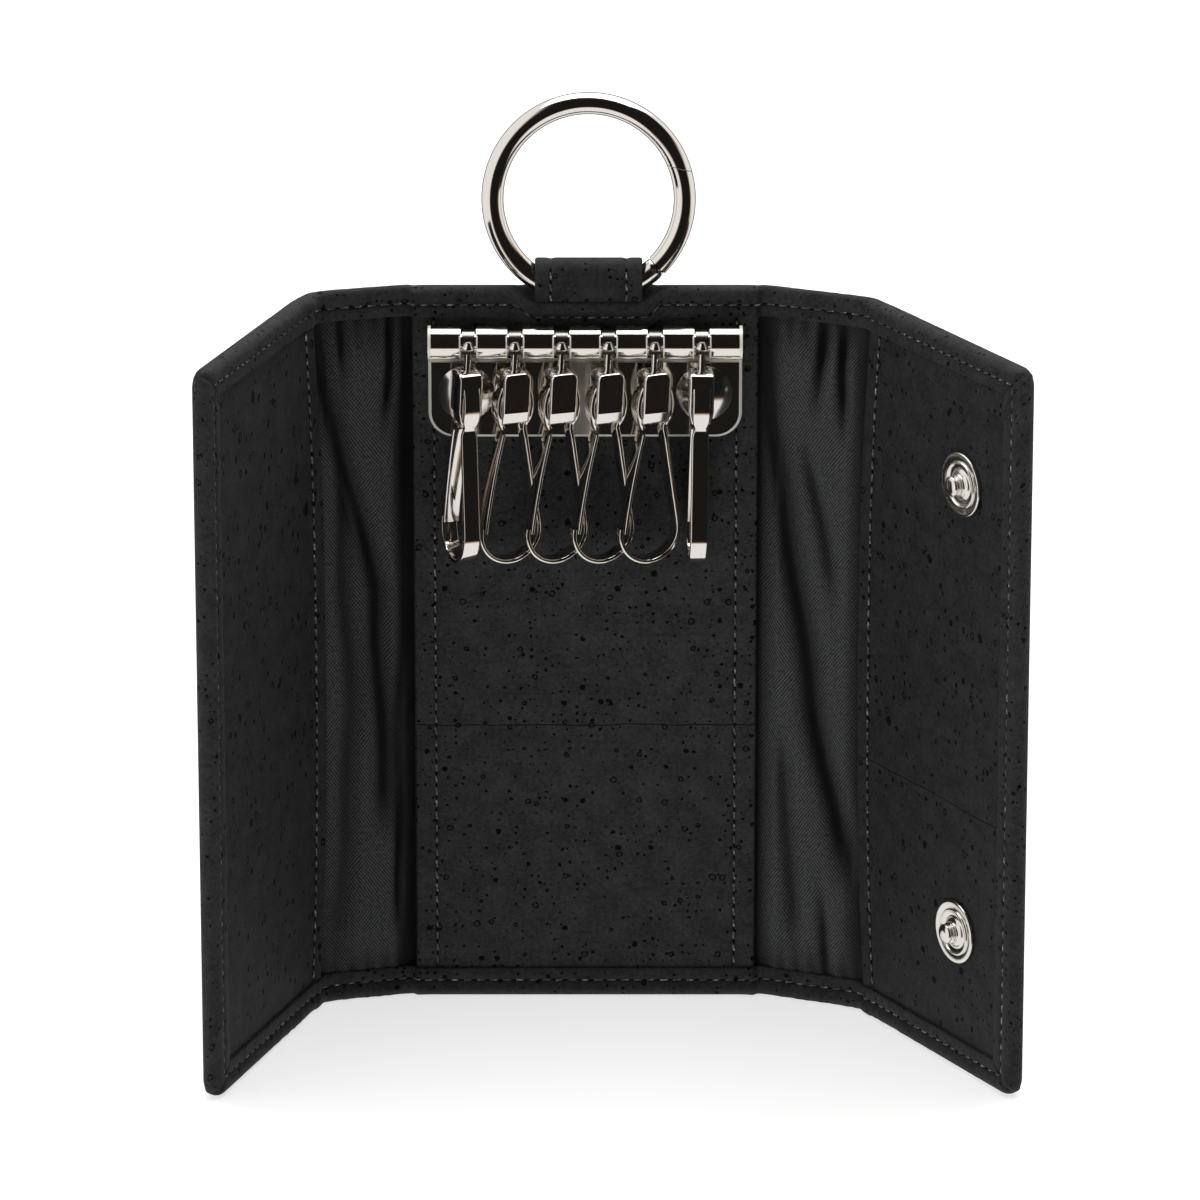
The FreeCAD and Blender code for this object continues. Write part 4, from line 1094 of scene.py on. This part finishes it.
def hole_shade_finish():
    """Painted shade for the needle holes between the stitches: near-black beads sunk in each hole."""
    hole = Finish("needle_holes", Specular_IOR_Level=0.05)
    fuzz = hole.noise(hole.here(), 4000.0, 2.0)
    hole.paint(Base_Color=hole.mix(fuzz, (0.0012, 0.0012, 0.0012), (0.004, 0.004, 0.004)),
               Roughness=0.8 + 0.15 * fuzz)
    return hole.material


def metal_finish(name, tint, polish, wear):
    """Plated metal: a bright polish with faint cloudy wear."""
    metal = Finish(name, Metallic=1.0, Base_Color=tint)
    cloud = metal.noise(metal.here(), 420.0, 4.0)
    metal.paint(Roughness=polish + wear * cloud)
    return metal.material


def painted_highlight_finish(tint):
    """Polished nickel for the key bar, with painted highlights where its rounded edges would mirror the light: round
    the plate's outline, along its top and at the ends of the rolled segments, and a fainter painted reflection down
    the middle of the plate's face. The outline is where the distance to a rectangle inset by the corner's radius
    nears that radius."""
    low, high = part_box("hook_plate")
    corner, bright = 4.2e-3, 0.44e-3
    first, second = (JOINTS[f"hook_{n}_swing"]["pos_m"] for n in (1, 2))
    pitch = second[0] - first[0]
    metal = Finish("edged_nickel")
    x, z = (metal.part(metal.here(), axis) for axis in "XZ")
    top = first[2] - 3.5e-3

    aside, below = (x.size() - (high.x - corner)).most(0.0), (low.z + corner - z).most(0.0)
    outline = (aside * aside + below * below).step((corner - bright - 0.06e-3) ** 2, (corner - bright) ** 2)
    shelf = 1.0 - (z - top).size().step(0.16e-3, 0.2e-3)
    rolled = z.above(top) * (1.0 - z.above(first[2] + 1.7e-3))
    # glow is a painted reflection: a lighter band down the middle of the plate's face, below the rolled top
    glow = (1.0 - (x + 0.3e-3).size().step(0.6e-3, 3.0e-3)) * (1.0 - z.above(top))
    apart = (x.math("FRACT", x / pitch) - 0.5).size() * pitch
    rims = (1.0 - (apart - 1.36e-3).size().step(0.1e-3, 0.13e-3)) * rolled
    rims = rims * (1.0 - (x.size() - 2.9 * pitch).above(0.0))
    # edge gathers the painted highlights (outline, top, segment ends) and the painted reflection; there the nickel
    # turns into a light, rougher non-metal
    edge = metal.node("ShaderNodeClamp", sockets={0: outline + shelf + rims + 0.35 * glow})
    cloud = metal.noise(metal.here(), 420.0, 4.0)
    metal.paint(Base_Color=metal.mix(edge, tint, (0.98, 0.94, 0.86)), Metallic=1.0 - 0.85 * edge,
                Roughness=0.05 + 0.07 * cloud + 0.25 * edge)
    return metal.material


def board_finish():
    """Grey stiffening board, with a little fibre in its tone."""
    board = Finish("grey_board", Specular_IOR_Level=0.2)
    fibre = board.noise(board.here(), 1800.0, 4.0)
    board.paint(Base_Color=board.mix(fibre, scaled(colours().board, 0.8), colours().board),
                Roughness=0.8 + 0.1 * fibre)
    return board.material


# Stage

def look_at_case(thing, place):
    """Puts a light or a camera in its place and turns it to the case."""
    thing.location = place
    thing.rotation_euler = (AIM - Vector(place)).to_track_quat("-Z", "Y").to_euler()


def studio_floor():
    """A pale floor with a glow of its own, which the metal doesn't mirror."""
    tint = colours().floor
    floor = Finish("studio_floor", Roughness=0.9, Specular_IOR_Level=0.0, Base_Color=scaled(tint, 0.55),
                   Emission_Color=tint, Emission_Strength=0.765)
    reach = 6.0
    mesh = bpy.data.meshes.new("floor")
    mesh.from_pydata([(-reach, -reach, 0.0), (reach, -reach, 0.0), (reach, reach, 0.0), (-reach, reach, 0.0)], [],
                     [(0, 1, 2, 3)])
    mesh.materials.append(floor.material)
    ground = new_object("floor", mesh)
    ground.visible_glossy = False


def studio_light():
    """One wide lamp above and a little behind the case."""
    lamp = bpy.data.lights.new("top", "AREA")
    lamp.size, lamp.energy = 1.5, 21.0
    look_at_case(new_object("top", lamp), (0.1, 0.35, 1.3))


def studio_room():
    """The room round the case: white, greyer behind, with a dark opening in front that has a brown rim."""
    world = bpy.data.worlds.new("studio")
    world.use_nodes = True
    room = Nodes(world.node_tree)
    way = room.node("ShaderNodeTexCoord", output="Generated")
    x, y, z = (room.part(way, axis) for axis in "XYZ")
    white, grey, brown, black = (0.95, 0.95, 0.95), (0.17, 0.16, 0.15), (0.42, 0.28, 0.18), (0.012, 0.011, 0.01)

    def front(grow):
        sides = (1.0 - (x - grow).step(0.8, 0.93)) * (1.0 - (0.0 - x - grow).step(0.34, 0.52))
        return (0.0 - y + grow).step(-0.1, 0.05) * (z + grow).step(-0.47, -0.42) * sides

    behind = (0.94 * y - 0.34 * z).step(0.52, 0.85)
    sky = room.mix(front(0.05), room.mix(behind, white, grey), brown)
    room.feed(world.node_tree.nodes["Background"].inputs["Color"], room.mix(front(0.0), sky, black))
    return world


def studio_camera():
    lens = bpy.data.cameras.new("camera")
    camera = new_object("camera", lens)
    look_at_case(camera, AIM + CAMERA_AWAY * Vector((0.0, -cos(CAMERA_RISE), sin(CAMERA_RISE))))
    lens.sensor_width = 36.0
    lens.lens = lens.sensor_width * PIXELS_PER_METRE * CAMERA_AWAY / FRAME_WIDTH
    lens.clip_end = 50.0
    return camera


# Operators

class KEYCASE_OT_cover(bpy.types.Operator):
    """Makes the cork cover: the middle, the bending fold zones and the flaps, with their turned hems"""
    bl_idname = "keycase.cover"
    bl_label = "Cork cover"

    def execute(self, context):
        # The cover's cork is darkened to 0.84: painted shade
        cork = [cork_finish("cork_cover", painted_shade=0.84)]
        middle = centre_zone()
        finish(strip_cover(middle, 260), cork, middle.place, "cork", "centre_shell")
        for side in SIGNS:
            inner, outer, flap = side_zones(side).values()
            finish(strip_cover(inner, 120), cork, inner.place, "cork", f"{side}_fold_shell")
            finish(strip_cover(outer, 160), cork, outer.place, "cork")
            finish(flap_cover(flap), cork, flap.place, "cork", f"{side}_flap_shell")
        return {"FINISHED"}


class KEYCASE_OT_panels(bpy.types.Operator):
    """Makes the three inner cork panels"""
    bl_idname = "keycase.panels"
    bl_label = "Cork panels"

    def execute(self, context):
        s = sizes()
        middle = cork_finish("cork_panel_middle", s.veneer_joint)
        # The flap panels' cork is darkened to about two thirds: painted shade, as the flaps take less light
        flaps = {"left": cork_finish("cork_panel_left", painted_shade=0.66, fine=0.66, tall=1.5),
                 "right": cork_finish("cork_panel_right", s.veneer_joint - 2.9e-3, 0.67, 0.76, 1.2)}
        seams = ((True, s.panel_seam), (False, s.panel_seam))
        panel = panel_piece("panel_centre", None, lambda z: -CENTRE_HALF, lambda z: CENTRE_HALF, (True, True),
                            seams, 0.2)
        finish(panel, [middle], centre_zone().place, "cork", "centre_panel")
        for side, shift in (("left", 0.5), ("right", 0.7)):
            free = outer_place(side) + flap_width(side) - s.seam
            panel = panel_piece(f"panel_{side}", side, lambda z: flap_panel_edge(side, z), lambda z: free,
                                (True, False), ((True, s.flap_seam),), shift)
            finish(panel, [flaps[side]], side_zones(side)["outer"].place, "cork", f"{side}_panel")
        return {"FINISHED"}


class KEYCASE_OT_lining(bpy.types.Operator):
    """Makes the loose twill lining of the fold zones"""
    bl_idname = "keycase.lining"
    bl_label = "Twill lining"

    def execute(self, context):
        twill = twill_finish()
        tuck = sizes().tuck
        for side in SIGNS:
            zones = side_zones(side)
            middle = CENTRE_HALF + fold_width(side) / 2.0
            spans = {"inner": (CENTRE_HALF - tuck, middle), "outer": (middle, outer_place(side) + tuck)}
            for half, (low, high) in spans.items():
                cloth = lining_piece(zones[half], low, high)
                replaced = [f"{side}_lining"] if half == "inner" else []
                finish(cloth, [twill], zones[half].place, "lining", *replaced)
                high - low
        return {"FINISHED"}


class KEYCASE_OT_stitching(bpy.types.Operator):
    """Sews the hems and the panels' edges"""
    bl_idname = "keycase.stitching"
    bl_label = "Stitching"

    def execute(self, context):
        s = sizes()
        sewing = [thread_finish(), hole_shade_finish()]
        low, high = s.seam, HEIGHT - s.seam
        up = np.linspace(s.hem + 0.3e-3, HEIGHT - s.hem - 0.3e-3, 60)
        middle = centre_zone()
        x = middle.across(80)
        edge = CENTRE_HALF - s.panel_seam

        def sew(zone, rows):
            finish(stitches_piece(f"stitching_{zone.name}", rows, zone.bent), sewing, zone.place, "cork")

        rows = [stitch_row([(middle.start, low), (middle.stop, low)], hem_seam_depth, 3),
                stitch_row(stacked(x, high - dip(x, PANEL_FRONT)), hem_seam_depth, 4)]
        sew(middle, rows + [stitch_row([(e, up[0]), (e, up[-1])], panel_seam_depth, 6) for e in (-edge, edge)])
        for side, sign in SIGNS.items():
            inner, outer, flap = side_zones(side).values()
            hems = {zone.name: [stitch_row([(sign * zone.start, z), (sign * zone.stop, z)], hem_seam_depth, 7)
                                for z in (low, high)] for zone in (inner, outer)}
            sew(inner, hems[inner.name])
            bowed = stacked(sign * (flap_panel_edge(side, up) + s.flap_seam), up)
            sew(outer, hems[outer.name] + [stitch_row(bowed, panel_seam_depth, 10)])
            free = sign * (flap.stop - s.seam)
            path = [(sign * flap.start, low), (free, low), (free, high), (sign * flap.start, high)]
            sew(flap, [stitch_row(path[k:k + 2], hem_seam_depth, 8 + k) for k in range(3)])
        return {"FINISHED"}


class KEYCASE_OT_strap(bpy.types.Operator):
    """Folds the cork strap round the carry ring and sews it"""
    bl_idname = "keycase.strap"
    bl_label = "Ring strap"

    def execute(self, context):
        # The strap's cork is darkened to 0.77: painted shade
        finish(strap_piece(), [cork_finish("cork_strap", painted_shade=0.77)], place_strap, "cork", "ring_strap")
        finish(strap_stitches(), [thread_finish(), hole_shade_finish()], place_strap, "cork")
        return {"FINISHED"}


class KEYCASE_OT_fittings(bpy.types.Operator):
    """Plates the ring, key bar, hooks and press studs"""
    bl_idname = "keycase.fittings"
    bl_label = "Nickel fittings"

    def execute(self, context):
        c, h = colours(), hook_sizes()
        nickel = metal_finish("polished_nickel", c.nickel, 0.05, 0.07)
        highlighted = painted_highlight_finish(c.nickel)
        steel = metal_finish("spring_steel", c.steel, 0.25, 0.15)
        own = {"hook_plate": highlighted, "plate_rivets": metal_finish("rivet_nickel", c.nickel, 0.12, 0.06)}
        # The saddles get nickel darkened to 0.4 of its tint: painted shade for the eyes deep in the rod's slots
        shaded_nickel = metal_finish("eye_nickel", scaled(c.nickel, 0.4), 0.18, 0.1)
        board, cork = board_finish(), cork_finish("cork_tail")

        def plate(piece, material, body, replaced):
            finish(piece, [material], lambda piece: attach(piece, body), "nickel", replaced)

        plate(studs_piece(), metal_finish("stud_nickel", c.nickel, 0.14, 0.08), "right_flap", "studs")
        strips = {"loop": (loop_path(), h.thickness, ""), "gate": (gate_path(), h.gate_thickness, "_gate")}
        for hook in range(1, 7):
            own[f"hook_{hook}_saddle"] = shaded_nickel
            plate(clip_piece(f"clip_{hook}", hook), nickel, f"hook_{hook}", f"hook_{hook}_head")
            for kind, (path, thickness, body) in strips.items():
                strip = strip_piece(f"strip_{kind}_{hook}", path, thickness, hook)
                plate(strip, nickel, f"hook_{hook}{body}", f"hook_{hook}_{kind}")
        for slot, material in (("nickel", nickel), ("spring_steel", steel), ("board", board), ("cork", cork)):
            for row in frame["record"]["subparts"]:
                if row["material_slot"] == slot:
                    node = frame["nodes"][row["node"]].data
                    node.materials.clear()
                    node.materials.append(own.get(row["node"], material))
        return {"FINISHED"}


class KEYCASE_OT_stage(bpy.types.Operator):
    """Sets the pale floor, the soft light, the room and the camera"""
    bl_idname = "keycase.stage"
    bl_label = "Stage"

    def execute(self, context):
        studio_floor()
        studio_light()
        context.scene.world = studio_room()
        context.scene.camera = studio_camera()
        context.scene.view_settings.view_transform = "Standard"
        return {"FINISHED"}


class KEYCASE_PT_sidebar(bpy.types.Panel):
    """Lists the pieces of the key case"""
    bl_idname = "KEYCASE_PT_sidebar"
    bl_label = "Key Case"
    bl_space_type = "VIEW_3D"
    bl_region_type = "UI"
    bl_category = "Key Case"

    def draw(self, context):
        for operator in OPERATORS:
            self.layout.operator(operator.bl_idname)


OPERATORS = (KEYCASE_OT_cover, KEYCASE_OT_panels, KEYCASE_OT_lining, KEYCASE_OT_stitching, KEYCASE_OT_strap,
             KEYCASE_OT_fittings, KEYCASE_OT_stage)
CLASSES = (CaseSizes, HookSizes, CaseColours, *OPERATORS, KEYCASE_PT_sidebar)


def register():
    for item in CLASSES:
        bpy.utils.register_class(item)
    bpy.types.Scene.key_case_sizes = PointerProperty(type=CaseSizes)
    bpy.types.Scene.key_case_hook_sizes = PointerProperty(type=HookSizes)
    bpy.types.Scene.key_case_colours = PointerProperty(type=CaseColours)


def unregister():
    del bpy.types.Scene.key_case_colours
    del bpy.types.Scene.key_case_hook_sizes
    del bpy.types.Scene.key_case_sizes
    for item in reversed(CLASSES):
        bpy.utils.unregister_class(item)


def main():
    register()
    for piece in ("cover", "panels", "lining", "stitching", "strap", "fittings", "stage"):
        getattr(bpy.ops.keycase, piece)()


if __name__ == "__main__":
    main()
